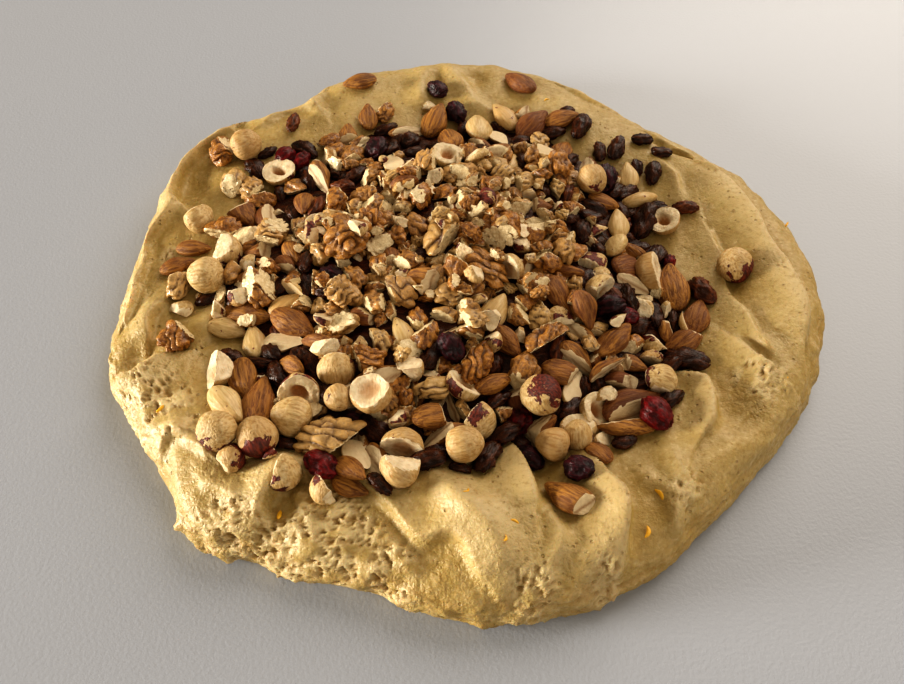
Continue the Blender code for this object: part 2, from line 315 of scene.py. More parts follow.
def dough_side(step, angle):
    """Points of one loop around the slab's side, from just under the crest to the foot."""
    if step <= UPPER_STEPS:
        turn = math.pi / 2 * (1 - step / UPPER_STEPS)
    else:
        turn = math.pi / 2 * (UPPER_STEPS - step) / (SIDE_STEPS - UPPER_STEPS)
    edge = lobed(DOUGH_RADIUS, DOUGH_LOBES, angle)
    crest = lobed(CREST_HEIGHT, CREST_LOBES, angle)
    inset = lobed(EDGE_ROUND, EDGE_LOBES, angle) if turn > 0 else UNDERCUT
    radius = edge - inset * (1 - math.cos(turn))
    x = radius * np.cos(angle)
    y = radius * np.sin(angle)
    if turn < 0:
        height = np.full_like(angle, WIDEST_HEIGHT * (1 + math.sin(turn)))
    else:
        rise = math.sin(turn)
        height = WIDEST_HEIGHT + (crest - WIDEST_HEIGHT + relief(x, y)) * rise
    return np.column_stack([x, y, height])


def disc_grid(mesh, rings):
    """Adds a grid to be bent into a disc, whose ring k has 8k points. Returns ring and angle."""
    made = bmesh.ops.create_grid(mesh, x_segments=2 * rings, y_segments=2 * rings, size=rings)
    across = np.array([vert.co[:2] for vert in made["verts"]])
    u, v = across[:, 0], across[:, 1]
    ring = np.round(np.maximum(abs(u), abs(v)))
    wide = abs(u) >= abs(v)
    small = np.where(wide, v, u) / np.where(ring > 0, np.where(wide, u, v), 1)
    angle = np.where(wide, small * math.pi / 4 + np.where(u < 0, math.pi, 0), 0)
    angle = np.where(wide, angle, math.pi / 2 - small * math.pi / 4 + np.where(v < 0, math.pi, 0))
    return made["verts"], ring, angle


def extrude_border(mesh):
    """Adds a band of faces along the mesh's open border, and gives its new points."""
    border = [edge for edge in mesh.edges if edge.is_boundary]
    made = bmesh.ops.extrude_edge_only(mesh, edges=border)
    return [item for item in made["geom"] if isinstance(item, bmesh.types.BMVert)]


def close_foot(mesh):
    """Fills the mesh's open border with one face, and turns all faces outwards."""
    bmesh.ops.contextual_create(mesh, geom=[edge for edge in mesh.edges if edge.is_boundary])
    bmesh.ops.recalc_face_normals(mesh, faces=mesh.faces)


def to_data(mesh, name):
    """Turns a bmesh into a mesh for an object, and frees it."""
    data = bpy.data.meshes.new(name)
    mesh.to_mesh(data)
    mesh.free()
    return data


# ---------------------------------------------------------------------------------------------
# Materials
# ---------------------------------------------------------------------------------------------


class Nodes:
    """A material under construction: adds nodes by type and links what they are given."""

    def __init__(self, name):
        self.material = bpy.data.materials.new(name)
        self.material.use_nodes = True
        self.tree = self.material.node_tree
        self.shader = self.tree.nodes["Principled BSDF"]

    def add(self, kind, inputs=(), **settings):
        node = self.tree.nodes.new(kind)
        for key, value in settings.items():
            setattr(node, key, value)
        for key, value in dict(inputs).items():
            self.put(node.inputs[key], value)
        return node

    def put(self, socket, value):
        if isinstance(value, bpy.types.NodeSocket):
            self.tree.links.new(value, socket)
        elif socket.type == "RGBA" and len(value) == 3:
            socket.default_value = (*value, 1)
        else:
            socket.default_value = value

    def local(self):
        """The piece's own coordinates in mm, different for each piece."""
        return self.add("ShaderNodeAttribute", attribute_name="local").outputs["Vector"]

    def mark(self, name):
        """A number that the mesh carries at each point."""
        return self.add("ShaderNodeAttribute", attribute_name=name).outputs["Fac"]

    def weak(self, name, share):
        """A mark of the mesh, weakened to a share of itself."""
        return self.math("MULTIPLY", self.mark(name), share)

    def noise(self, where, scale, detail=3.0, rough=0.55, distortion=0.0):
        values = {"Vector": where, "Scale": scale, "Detail": detail}
        values.update({"Roughness": rough, "Distortion": distortion})
        return self.add("ShaderNodeTexNoise", values).outputs["Fac"]

    def stretch(self, where, scale):
        values = {"Vector": where, "Scale": scale}
        return self.add("ShaderNodeMapping", values).outputs["Vector"]

    def ramp(self, value, low, high, out_low=0.0, out_high=1.0):
        values = {"Value": value, "From Min": low, "From Max": high}
        values.update({"To Min": out_low, "To Max": out_high})
        made = self.add("ShaderNodeMapRange", values, interpolation_type="SMOOTHSTEP")
        return made.outputs["Result"]

    def math(self, operation, a, b=0.5):
        made = self.add("ShaderNodeMath", operation=operation)
        self.put(made.inputs[0], a)
        self.put(made.inputs[1], b)
        return made.outputs[0]

    def mix(self, share, a, b, blend="MIX"):
        made = self.add("ShaderNodeMix", data_type="RGBA", blend_type=blend)
        self.put(made.inputs[0], share)
        self.put(made.inputs[6], a)
        self.put(made.inputs[7], b)
        return made.outputs[2]

    def bump(self, height, distance, strength=1.0, under=None):
        values = {"Height": height, "Distance": distance * MM, "Strength": strength}
        if under is not None:
            values["Normal"] = under
        return self.add("ShaderNodeBump", values).outputs["Normal"]

    def finish(self, colour, roughness, normal=None, **constants):
        self.put(self.shader.inputs["Base Color"], colour)
        self.put(self.shader.inputs["Roughness"], roughness)
        if normal is not None:
            self.put(self.shader.inputs["Normal"], normal)
        for key, value in constants.items():
            self.shader.inputs[key.replace("_", " ")].default_value = value
        return self.material


def dough_material():
    """Pale yellow yeast dough, satin and finely crumbled, with painted highlight on strands, crumb tops
    and fold ridges, and painted shade in pits, pores and hollows.
    """
    n = Nodes("dough")
    where = n.add("ShaderNodeTexCoord").outputs["Object"]
    broad = n.noise(where, 24, 4)
    mottled = n.noise(where, 210, 5, 0.62)
    speck = n.noise(where, 620, 4, 0.6)
    grain = n.noise(where, 1300, 3, 0.65)
    drift = n.add("ShaderNodeTexNoise", {"Vector": where, "Scale": 260.0}).outputs["Color"]
    bent = {0: drift, 1: (0.005, 0.005, 0.005), 2: where}
    bent = n.add("ShaderNodeVectorMath", bent, operation="MULTIPLY_ADD").outputs[0]
    crumbs = n.add("ShaderNodeTexVoronoi", {"Vector": bent, "Scale": 620.0}).outputs["Distance"]
    crumbs = n.math("MULTIPLY", n.ramp(crumbs, 0.8, 0.1), n.mark("crumb"))
    pores = n.add("ShaderNodeTexVoronoi", {"Vector": where, "Scale": 330.0}).outputs["Distance"]
    pore = n.math("MULTIPLY", n.ramp(pores, 0.26, 0.10), n.ramp(n.noise(where, 190, 2), 0.52, 0.62))
    pale = n.mix(n.ramp(broad, 0.3, 0.7), (0.43, 0.307, 0.114), (0.48, 0.355, 0.146))
    # Painted light and shade from the folds' height: darker gold in the hollows as painted shade, paler
    # on the ridges as painted highlight.
    pale = n.mix(n.ramp(n.mark("painted_relief_light"), 0.55, 0.0, 0, 0.75), pale, (0.405, 0.276, 0.082))
    pale = n.mix(n.ramp(n.mark("painted_relief_light"), 0.45, 1.0, 0, 0.75), pale, (0.56, 0.432, 0.225))
    pale = n.mix(n.ramp(mottled, 0.48, 0.72, 0, 0.6), pale, (0.58, 0.440, 0.225))
    pale = n.mix(n.ramp(mottled, 0.42, 0.26, 0, 0.5), pale, (0.335, 0.208, 0.058))
    pale = n.mix(n.ramp(speck, 0.52, 0.72, 0, 0.55), pale, (0.31, 0.198, 0.052))
    pale = n.mix(n.ramp(speck, 0.46, 0.30, 0, 0.5), pale, (0.61, 0.472, 0.240))
    # Painted highlight on the web's strands and on the tops of the crumbled skin.
    pale = n.mix(n.weak("strand_highlight", 0.8), pale, (0.66, 0.53, 0.30))
    # Painted shade in the mesh's holes, pores and cracks, and in the bump's small pores below.
    colour = n.mix(n.weak("pit", 0.8), pale, (0.36, 0.195, 0.040))
    colour = n.mix(n.math("MULTIPLY", pore, 0.5), colour, (0.28, 0.165, 0.035))
    normal = n.bump(crumbs, 0.32, 0.7)
    normal = n.bump(mottled, 0.5, 0.8, normal)
    normal = n.bump(speck, 0.42, 0.8, normal)
    normal = n.bump(grain, 0.18, 0.7, normal)
    normal = n.bump(n.math("SUBTRACT", 1.0, pore), 0.4, 1.0, normal)
    return n.finish(
        colour,
        n.ramp(speck, 0.3, 0.7, 0.40, 0.56),
        normal,
        Subsurface_Weight=0.2,
        Subsurface_Radius=(0.0030, 0.0014, 0.0005),
        Subsurface_Scale=1.0,
        Specular_IOR_Level=0.5,
        Coat_Weight=0.10,
        Coat_Roughness=0.42,
    )


def zest_material():
    """Orange peel: bright and a little translucent."""
    n = Nodes("zest")
    where = n.local()
    colour = n.mix(n.noise(where, 1.5), (0.80, 0.36, 0.015), (0.90, 0.55, 0.04))
    normal = n.bump(n.noise(where, 4), 0.1)
    return n.finish(colour, 0.35, normal, Subsurface_Weight=0.1)


def almond_material():
    """Brown grooved skin with powdery ridges and painted shade in its grooves, and cream flesh where
    the nut is cut.
    """
    n = Nodes("almond_skin")
    where = n.local()
    tone = n.mark("tone")
    long = n.stretch(where, (0.07, 0.85, 0.85))
    grooves = n.noise(long, 1.35, 4, 0.6, 0.35)
    fine = n.noise(n.stretch(where, (0.25, 1.4, 1.4)), 3.2, 3, 0.6)
    blotch = n.noise(where, 0.16, 3)
    skin = n.mix(n.ramp(grooves, 0.36, 0.60), (0.16, 0.054, 0.008), (0.50, 0.245, 0.048))
    skin = n.mix(n.ramp(fine, 0.5, 0.75, 0, 0.5), skin, (0.62, 0.36, 0.105))
    skin = n.mix(n.ramp(blotch, 0.35, 0.75, 0, 0.4), skin, (0.33, 0.135, 0.034))
    skin = n.mix(n.math("MULTIPLY", tone, 0.75), skin, (0.14, 0.032, 0.012))
    flesh = n.mix(n.noise(where, 0.6, 4), (0.67, 0.51, 0.30), (0.82, 0.69, 0.48))
    flesh = n.mix(n.weak("hollow", 0.8), flesh, (0.30, 0.14, 0.045))
    # Painted shade in the grooves of the mesh.
    skin = n.mix(n.weak("crease", 0.6), skin, (0.12, 0.036, 0.009))
    cut = n.ramp(n.math("ADD", n.mark("cut"), n.math("MULTIPLY", fine, 0.24)), 0.5, 0.68)
    colour = n.mix(cut, skin, flesh)
    normal = n.bump(grooves, 0.7, 1.0, n.bump(fine, 0.22))
    return n.finish(colour, n.ramp(fine, 0.3, 0.7, 0.55, 0.42), normal, Specular_IOR_Level=0.45)


def blanched_material():
    """Skinned almond: smooth ivory with faint lines, a few scraps of skin left on it."""
    n = Nodes("blanched_kernel")
    where = n.local()
    lines = n.noise(n.stretch(where, (0.10, 0.9, 0.9)), 1.1, 3, 0.55)
    spots = n.noise(where, 0.32, 3, 0.6)
    ivory = n.mix(n.ramp(lines, 0.35, 0.65), (0.54, 0.375, 0.165), (0.70, 0.535, 0.285))
    ivory = n.mix(n.weak("tone", 0.6), ivory, (0.46, 0.26, 0.085))
    scraps = n.math("MULTIPLY", n.ramp(spots, 0.68, 0.70), n.ramp(n.mark("cut"), 0.6, 0.3))
    colour = n.mix(scraps, ivory, (0.16, 0.035, 0.02))
    flesh = n.mix(n.noise(where, 0.7, 4), (0.67, 0.52, 0.31), (0.82, 0.69, 0.48))
    colour = n.mix(n.ramp(n.mark("cut"), 0.4, 0.7), colour, flesh)
    normal = n.bump(lines, 0.22, 1.0, n.bump(n.noise(where, 1.8, 3), 0.12))
    return n.finish(
        colour, 0.42, normal, Subsurface_Weight=0.12, Subsurface_Radius=(0.002, 0.001, 0.0005)
    )


def hazelnut_material():
    """Cream kernel with patches of thin dark red skin that flakes off at their edges."""
    n = Nodes("hazelnut_kernel")
    where = n.local()
    flakes = n.noise(where, 0.12, 5, 0.62, 0.6)
    lines = n.noise(n.stretch(where, (1.0, 1.0, 0.14)), 1.2, 3)
    mottle = n.noise(where, 0.5, 4)
    cream = n.mix(n.ramp(lines, 0.32, 0.62), (0.42, 0.258, 0.092), (0.62, 0.455, 0.225))
    cream = n.mix(n.ramp(mottle, 0.45, 0.75, 0, 0.6), cream, (0.76, 0.62, 0.39))
    cream = n.mix(n.weak("tone", 0.5), cream, (0.42, 0.22, 0.07))
    red = n.mix(n.ramp(lines, 0.4, 0.62), (0.07, 0.012, 0.008), (0.20, 0.036, 0.018))
    edge = n.math("ADD", flakes, n.weak("skin", 0.15))
    has_skin = n.math("MULTIPLY", n.ramp(edge, 0.60, 0.615), n.ramp(n.mark("cut"), 0.6, 0.4))
    colour = n.mix(has_skin, cream, red)
    hollow = n.mix(n.noise(where, 0.5), (0.36, 0.15, 0.04), (0.52, 0.26, 0.085))
    flesh = n.mix(n.ramp(mottle, 0.3, 0.7), (0.67, 0.52, 0.32), (0.82, 0.70, 0.50))
    inside = n.mix(n.mark("hollow"), flesh, hollow)
    colour = n.mix(n.ramp(n.mark("cut"), 0.4, 0.65), colour, inside)
    rim = n.bump(has_skin, 0.22)
    normal = n.bump(lines, 0.5, 1.0, n.bump(mottle, 0.35, 1.0, rim))
    return n.finish(
        colour, 0.52, normal, Subsurface_Weight=0.1, Subsurface_Radius=(0.002, 0.001, 0.0005)
    )


def walnut_material():
    """Folded kernel: thin tan to brown skin with painted shade in its creases, cream where it broke."""
    n = Nodes("walnut_kernel")
    where = n.local()
    veins = n.noise(where, 0.45, 5, 0.6, 0.8)
    mottle = n.noise(where, 1.6, 4, 0.6)
    tone = n.mark("tone")
    skin = n.mix(n.ramp(veins, 0.38, 0.62), (0.20, 0.068, 0.009), (0.46, 0.205, 0.034))
    skin = n.mix(n.ramp(mottle, 0.45, 0.7, 0, 0.5), skin, (0.62, 0.35, 0.090))
    skin = n.mix(n.math("MULTIPLY", tone, 0.75), skin, (0.68, 0.49, 0.22))
    # Painted shade in the creases between the lobes.
    skin = n.mix(n.mark("crease"), skin, (0.075, 0.022, 0.004))
    flesh = n.mix(n.ramp(mottle, 0.3, 0.7), (0.66, 0.50, 0.27), (0.84, 0.71, 0.47))
    cut = n.ramp(n.math("ADD", n.mark("cut"), n.math("MULTIPLY", mottle, 0.3)), 0.55, 0.75)
    colour = n.mix(cut, skin, flesh)
    normal = n.bump(veins, 0.5, 1.0, n.bump(mottle, 0.3))
    return n.finish(colour, n.ramp(mottle, 0.3, 0.7, 0.48, 0.28), normal, Coat_Weight=0.2)


def fruit_material(name, dark, light, gloss, sugar=0.0):
    """Dried fruit skin: wrinkled and sticky, paler on the ridges of its wrinkles, with painted shade in
    its creases.
    """
    n = Nodes(name)
    where = n.local()
    wrinkles = n.noise(n.stretch(where, (0.3, 1.0, 1.0)), 0.75, 3, 0.5, 0.8)
    fine = n.noise(where, 2.4, 3, 0.6)
    colour = n.mix(n.ramp(wrinkles, 0.35, 0.68), dark, light)
    # Painted shade in the creases of the wrinkles.
    colour = n.mix(n.mark("crease"), colour, tuple(0.45 * part for part in dark))
    rough = n.ramp(fine, 0.3, 0.7, gloss, gloss + 0.2)
    if sugar:
        grains = n.add("ShaderNodeTexVoronoi", {"Vector": where, "Scale": 1.7, "Randomness": 1.0})
        grain = n.ramp(grains.outputs["Distance"], 0.16, 0.10)
        grain = n.math("MULTIPLY", grain, n.ramp(n.noise(where, 0.35), 0.5, 0.6))
        grain = n.math("MULTIPLY", grain, sugar)
        colour = n.mix(grain, colour, (0.82, 0.66, 0.66))
    normal = n.bump(wrinkles, 0.6, 1.0, n.bump(fine, 0.12))
    return n.finish(
        colour,
        rough,
        normal,
        Subsurface_Weight=0.12,
        Subsurface_Radius=(0.003, 0.0008, 0.0005),
        Specular_IOR_Level=0.32,
    )


MATERIALS = {
    "almond": almond_material(),
    "blanched": blanched_material(),
    "hazelnut": hazelnut_material(),
    "walnut": walnut_material(),
    "raisin": fruit_material("raisin_skin", (0.034, 0.009, 0.003), (0.100, 0.028, 0.0075), 0.19),
    "sultana": fruit_material("sultana_skin", (0.085, 0.020, 0.005), (0.22, 0.065, 0.016), 0.3),
    "cranberry": fruit_material(
        "cranberry_skin", (0.07, 0.003, 0.004), (0.22, 0.009, 0.011), 0.25, 0.4
    ),
    "zest": zest_material(),
    "cherry": fruit_material("cherry_skin", (0.016, 0.0028, 0.005), (0.075, 0.009, 0.016), 0.3, 0.6),
}

# ---------------------------------------------------------------------------------------------
# Shapes of the nuts and fruits. Each takes points of the unit sphere and a size in mm, and gives
# the points in mm and what the material needs to know at each of them.
# ---------------------------------------------------------------------------------------------


def template(mesh):
    """Points and faces of a bmesh, which it frees."""
    points = np.array([vert.co for vert in mesh.verts])
    faces = [[vert.index for vert in face.verts] for face in mesh.faces]
    mesh.free()
    return points, faces


def unit_sphere(around, along):
    """Points and faces of a sphere whose poles lie on the X axis."""
    mesh = bmesh.new()
    bmesh.ops.create_uvsphere(mesh, u_segments=around, v_segments=along, radius=1)
    points, faces = template(mesh)
    return points[:, [2, 0, 1]], faces


def unit_ball(level):
    """Points and faces of a sphere made of even triangles."""
    mesh = bmesh.new()
    bmesh.ops.create_icosphere(mesh, subdivisions=level, radius=1)
    return template(mesh)


def clip(points, cut, direction, offset, roughness, shift):
    """Breaks off what lies beyond a plane, and marks the face that shows there."""
    direction = np.array(direction, float)
    direction /= np.linalg.norm(direction)
    face = offset + roughness * field(points, 2.2, shift) + 0.4 * roughness * field(points, 0.9, shift)
    beyond = points @ direction - face
    hit = beyond > 0
    points = points - np.where(hit, beyond, 0)[:, None] * direction
    return points, np.maximum(cut, hit.astype(float))


def almond(ball, size, seed, cuts=0):
    """A flat drop with a grooved skin, pointed at +X, whole or chopped across or along."""
    x, y, z = ball.T
    taper = 1 - 0.46 * smooth((x + 0.25) / 1.25)
    width = random.uniform(0.27, 0.315)
    flat = random.uniform(0.165, 0.20)
    points = np.column_stack([0.5 * x, width * taper * y, flat * (1 - 0.28 * np.maximum(x, 0)) * z])
    bend = random.uniform(-0.05, 0.05)
    points[:, 1] += bend * (1 - x**2)
    points *= size
    around = np.arctan2(z, y)
    around += 0.12 * field(ball, 0.6, seed + 2)
    grooves = field(np.column_stack([0.5 * x, 5 * np.cos(around), 5 * np.sin(around)]), 1.0, seed)
    inward = ball * np.array([0.2, 1, 1])
    points += inward * (0.30 * grooves * (1 - x**4))[:, None]
    points += inward * (0.35 * field(points, 6, seed))[:, None]
    cut = np.zeros(len(points))
    for _ in range(cuts):
        lean = random.uniform(-0.5, 0.5)
        way = random.choice([-1, 1])
        if random.random() < 0.45:
            side, offset = (lean, way, random.uniform(0.3, 1.2)), random.uniform(0, 0.1)
        else:
            side, offset = (way, lean, random.uniform(0.2, 0.9)), random.uniform(0.02, 0.22)
        points, cut = clip(points, cut, side, offset * size, 0.3, seed)
    seam = cut * np.exp(-((points[:, 2] / 0.45) ** 2))
    return points, {"cut": cut, "crease": smooth(0.25 - 1.2 * grooves), "hollow": seam}


def almond_slab(ball, size, seed):
    """Half a blanched almond, split along its flat seam, the cut face up."""
    points, marks = almond(ball, size, seed)
    points, cut = clip(points, marks["cut"], (0.1, 0, 1), 0.02 * size, 0.12, seed)
    return points, {"cut": cut, "crease": marks["crease"]}


def almond_stub(ball, size, seed):
    """An almond with its blunt end cut off, so that the two halves of its kernel show."""
    points, marks = almond(ball, size * 1.15, seed)
    points, cut = clip(points, marks["cut"], (-1, 0.2, 0.45), 0.34 * size, 0.25, seed)
    seam = cut * np.exp(-((points[:, 2] / 0.5) ** 2))
    return points, {"cut": cut, "crease": marks["crease"], "hollow": seam}


def almond_whole(ball, size, seed):
    """An almond of the heap: most are whole, some are chopped."""
    return almond(ball, size, seed, cuts=int(random.random() < 0.35))


def hazelnut(ball, size, seed):
    """A ball with a blunt tip and a flattened foot, standing along Z."""
    x, y, z = ball.T
    points = np.column_stack([0.5 * x, 0.5 * y, 0.5 * z])
    points[:, 2] += 0.08 * np.maximum(z, 0) ** 4 + 0.07 * np.maximum(-z, 0) ** 3
    around = np.arctan2(y, x)
    facets = 1 + 0.018 * np.cos(3 * around + seed) + 0.012 * np.cos(5 * around - seed)
    points[:, :2] *= facets[:, None]
    points *= size
    points += ball * (0.45 * field(points, 5, seed) + 0.07 * field(points, 1.2, seed))[:, None]
    way = random.normal(size=3)
    skin = 1.1 * (ball @ way) / np.linalg.norm(way) + random.uniform(-0.9, 0.4)
    return points, {"cut": np.zeros(len(points)), "skin": skin}


def hazelnut_patched(ball, size, seed):
    """A hazelnut that is cream above and has its red skin left low on one side."""
    points, marks = hazelnut(ball, size, seed)
    return points, {"cut": marks["cut"], "skin": 1.9 * ball @ (0.25, -0.75, -0.6) + 0.1}


def hazelnut_half(ball, size, seed):
    """Half a hazelnut, cut face up, with the hollow between its two halves."""
    points, marks = hazelnut(ball, size, seed)
    level = random.uniform(0.0, 0.12) * size
    points, cut = clip(points, marks["cut"], (0, random.uniform(-0.2, 0.2), 1), level, 0.45, seed)
    stretch = random.uniform(1.0, 1.7)
    across = np.hypot(points[:, 0] * stretch, points[:, 1]) / (0.5 * size)
    bowl = np.exp(-((across / 0.48) ** 4)) * cut
    points[:, 2] -= 0.26 * size * bowl
    return points, {"cut": cut, "skin": marks["skin"], "hollow": smooth(bowl * 1.4 - 0.2)}


def hazelnut_split(ball, size, seed):
    """A hazelnut with a side broken off, so that its pale, dented inside shows beside the skin."""
    points, marks = hazelnut(ball, size, seed)
    way = random.uniform(0, 2 * math.pi)
    side = np.array([math.cos(way), math.sin(way), random.uniform(-0.2, 0.6)])
    side /= np.linalg.norm(side)
    points, cut = clip(points, marks["cut"], side, random.uniform(0.02, 0.16) * size, 0.45, seed)
    across = np.linalg.norm(points - (points @ side)[:, None] * side, axis=1) / (0.5 * size)
    bowl = np.exp(-((across / random.uniform(0.4, 0.75)) ** 3)) * cut
    points -= 0.12 * size * bowl[:, None] * side
    other = np.cross(side, random.normal(size=3))
    points, cut = clip(points, cut, other, random.uniform(0.2, 0.42) * size, 0.4, seed + 3)
    return points, {"cut": cut, "skin": marks["skin"], "hollow": 0.7 * smooth(bowl * 1.3 - 0.3)}


def nut_chip(ball, size, seed):
    """A chopped bit of nut: a few uneven pale faces, some of the outer skin left."""
    points, _ = hazelnut(ball, size * 1.25, seed)
    points = points * np.array([1.0, random.uniform(0.5, 0.9), random.uniform(0.35, 0.7)])
    cut = np.zeros(len(points))
    for _ in range(4):
        side = random.normal(size=3)
        points, cut = clip(points, cut, side, random.uniform(0.10, 0.3) * size, 0.4, seed)
    points[:, 2] += random.uniform(-0.3, 0.3) * (points[:, 0] ** 2 - 0.06 * size**2) / size
    return points, {"cut": cut}


def walnut(ball, size, seed, breaks=2):
    """A piece of walnut kernel: thin winding lobes with deep creases, broken on some sides."""
    stretched = ball * np.array([1, 0.72, 0.5])
    warp = 0.35 * np.column_stack([field(ball, 0.9, seed + k) for k in (0, 9, 18)])
    way = random.normal(size=3)
    way /= np.linalg.norm(way)
    phase = (stretched + warp) @ way * random.uniform(7.5, 10.0)
    gyri = abs(np.sin(phase)) ** 0.6
    side = np.cross(way, (0.3, 0.5, 0.8))
    second = abs(np.sin((stretched + warp) @ side * 6.0 + seed)) ** 0.55
    lobes = np.minimum(gyri, 0.3 + 0.7 * second)
    lump = field(ball, 0.75, seed + 5)
    wrinkle = ridges(stretched + 0.7 * warp, 0.24, seed + 8)
    radius = 0.74 + 0.34 * lobes + 0.26 * lump - 0.05 * wrinkle
    points = 0.5 * size * stretched * radius[:, None]
    points += 0.15 * ball * field(points, 1.1, seed)[:, None]
    cut = np.zeros(len(points))
    for _ in range(breaks):
        side = random.normal(size=3) * (1, 1, 0.7)
        points, cut = clip(points, cut, side, random.uniform(0.10, 0.28) * size, 0.5, seed)
    return points, {"cut": cut, "crease": smooth(1.1 - 1.6 * lobes)}


def walnut_kernel(ball, size, seed):
    """A large piece of walnut, hardly broken."""
    return walnut(ball, size, seed, breaks=1)


def crumb(ball, size, seed):
    """A crumb of walnut."""
    return walnut(ball, size, seed, breaks=3)


def raisin(ball, size, seed):
    """A dried grape, drawn in by long wrinkles."""
    x, y, z = ball.T
    around = np.arctan2(z, y)
    bent = around + 0.9 * field(ball, 1.1, seed + 7)
    line = np.column_stack([0.9 * x, 1.5 * np.cos(bent), 1.5 * np.sin(bent)])
    folds = ridges(line, 0.75, seed)
    fine = ridges(line + 0.3 * ball, 0.36, seed + 3)
    wide = random.uniform(0.27, 0.36)
    thick = random.uniform(0.19, 0.26)
    points = size * ball * np.array([0.5, wide, thick])
    points *= (1 - (0.26 * (1 - folds) + 0.09 * (1 - fine)) * (1 - 0.5 * x**2))[:, None]
    points += ball * (0.5 * field(points, 5, seed))[:, None]
    points[:, 2] += random.uniform(-0.08, 0.12) * size * (1 - x**2)
    points[:, 1] += random.uniform(-0.07, 0.07) * size * (1 - x**2)
    return points, {"crease": smooth(0.8 - 1.1 * folds)}


def berry(ball, size, seed):
    """A dried cranberry or cherry: rounder, with a puckered skin."""
    warp = 0.25 * np.column_stack([field(ball, 0.8, seed + k) for k in (0, 9, 18)])
    folds = ridges(ball + warp, 0.6, seed)
    fine = ridges(ball + warp, 0.3, seed + 4)
    points = size * ball * np.array([0.5, random.uniform(0.36, 0.45), random.uniform(0.28, 0.37)])
    points *= (0.84 + 0.16 * folds + 0.06 * fine)[:, None]
    points += ball * (0.7 * field(points, 4, seed))[:, None]
    return points, {"crease": smooth(0.75 - 1.1 * folds)}


def zest(ball, size, seed):
    """A flake of grated peel."""
    points = size * ball * np.array([0.5, 0.17, 0.09])
    points[:, 1] += 0.25 * size * (ball[:, 0] ** 2 - 0.5) * math.sin(seed)
    points += 0.12 * ball * field(points, 1.2, seed)[:, None]
    return points, {}


def almond_piece(ball, size, seed):
    """A whole almond chopped once or twice."""
    return almond(ball, size * 1.15, seed, cuts=random.integers(1, 3))


BALLS = {level: unit_ball(level) for level in (3, 4, 5)}
SPHERES = {level: unit_sphere(6 * level, 4 * level) for level in (3, 4, 5, 6)}
NUT_BALLS = (SPHERES[5], SPHERES[6])
FRUIT_BALLS = (SPHERES[4], SPHERES[5])
# kind: (joined piece, material and slot, shape, templates, size from which the finer one is
# taken, roll of the piece about its length)
KINDS = {
    "almond": ("almonds", "almond", almond_whole, NUT_BALLS, 19, 25),
    "stub": ("almond_pieces", "almond", almond_stub, NUT_BALLS, 19, 0),
    "almond_piece": ("almond_pieces", "almond", almond_piece, NUT_BALLS, 19, 60),
    "blanched": ("blanched_almonds", "blanched", almond, NUT_BALLS, 19, 30),
    "slab": ("blanched_almonds", "blanched", almond_slab, NUT_BALLS, 19, 25),
    "hazelnut": ("hazelnuts", "hazelnut", hazelnut, NUT_BALLS, 14, 180),
    "patched": ("hazelnuts", "hazelnut", hazelnut_patched, NUT_BALLS, 14, 0),
    "half": ("hazelnut_pieces", "hazelnut", hazelnut_half, (SPHERES[6], SPHERES[6]), 14, 0),
    "split": ("hazelnut_pieces", "hazelnut", hazelnut_split, NUT_BALLS, 14, 40),
    "chip": ("nut_chips", "hazelnut", nut_chip, (SPHERES[3], SPHERES[4]), 9, 180),
    "walnut": ("walnuts", "walnut", walnut, (BALLS[4], BALLS[5]), 17, 30),
    "kernel": ("walnuts", "walnut", walnut_kernel, (BALLS[4], BALLS[5]), 17, 20),
    "crumb": ("walnut_crumbs", "walnut", crumb, (BALLS[3], BALLS[4]), 8, 180),
    "raisin": ("raisins", "raisin", raisin, FRUIT_BALLS, 15, 30),
    "sultana": ("sultanas", "sultana", raisin, FRUIT_BALLS, 12, 20),
    "cranberry": ("cranberries", "cranberry", berry, NUT_BALLS, 12, 40),
    "cherry": ("cherries", "cherry", berry, NUT_BALLS, 12, 40),
    "zest": ("zest", "zest", zest, (SPHERES[3], SPHERES[3]), 9, 0),
}

# ---------------------------------------------------------------------------------------------
# Where the pieces of the heap lie: (kind, x, y, yaw, size), in mm and degrees, and a tilt where
# there is one. Yaw is where the tip points, tilt lifts it. The lowest pieces come first.
# ---------------------------------------------------------------------------------------------

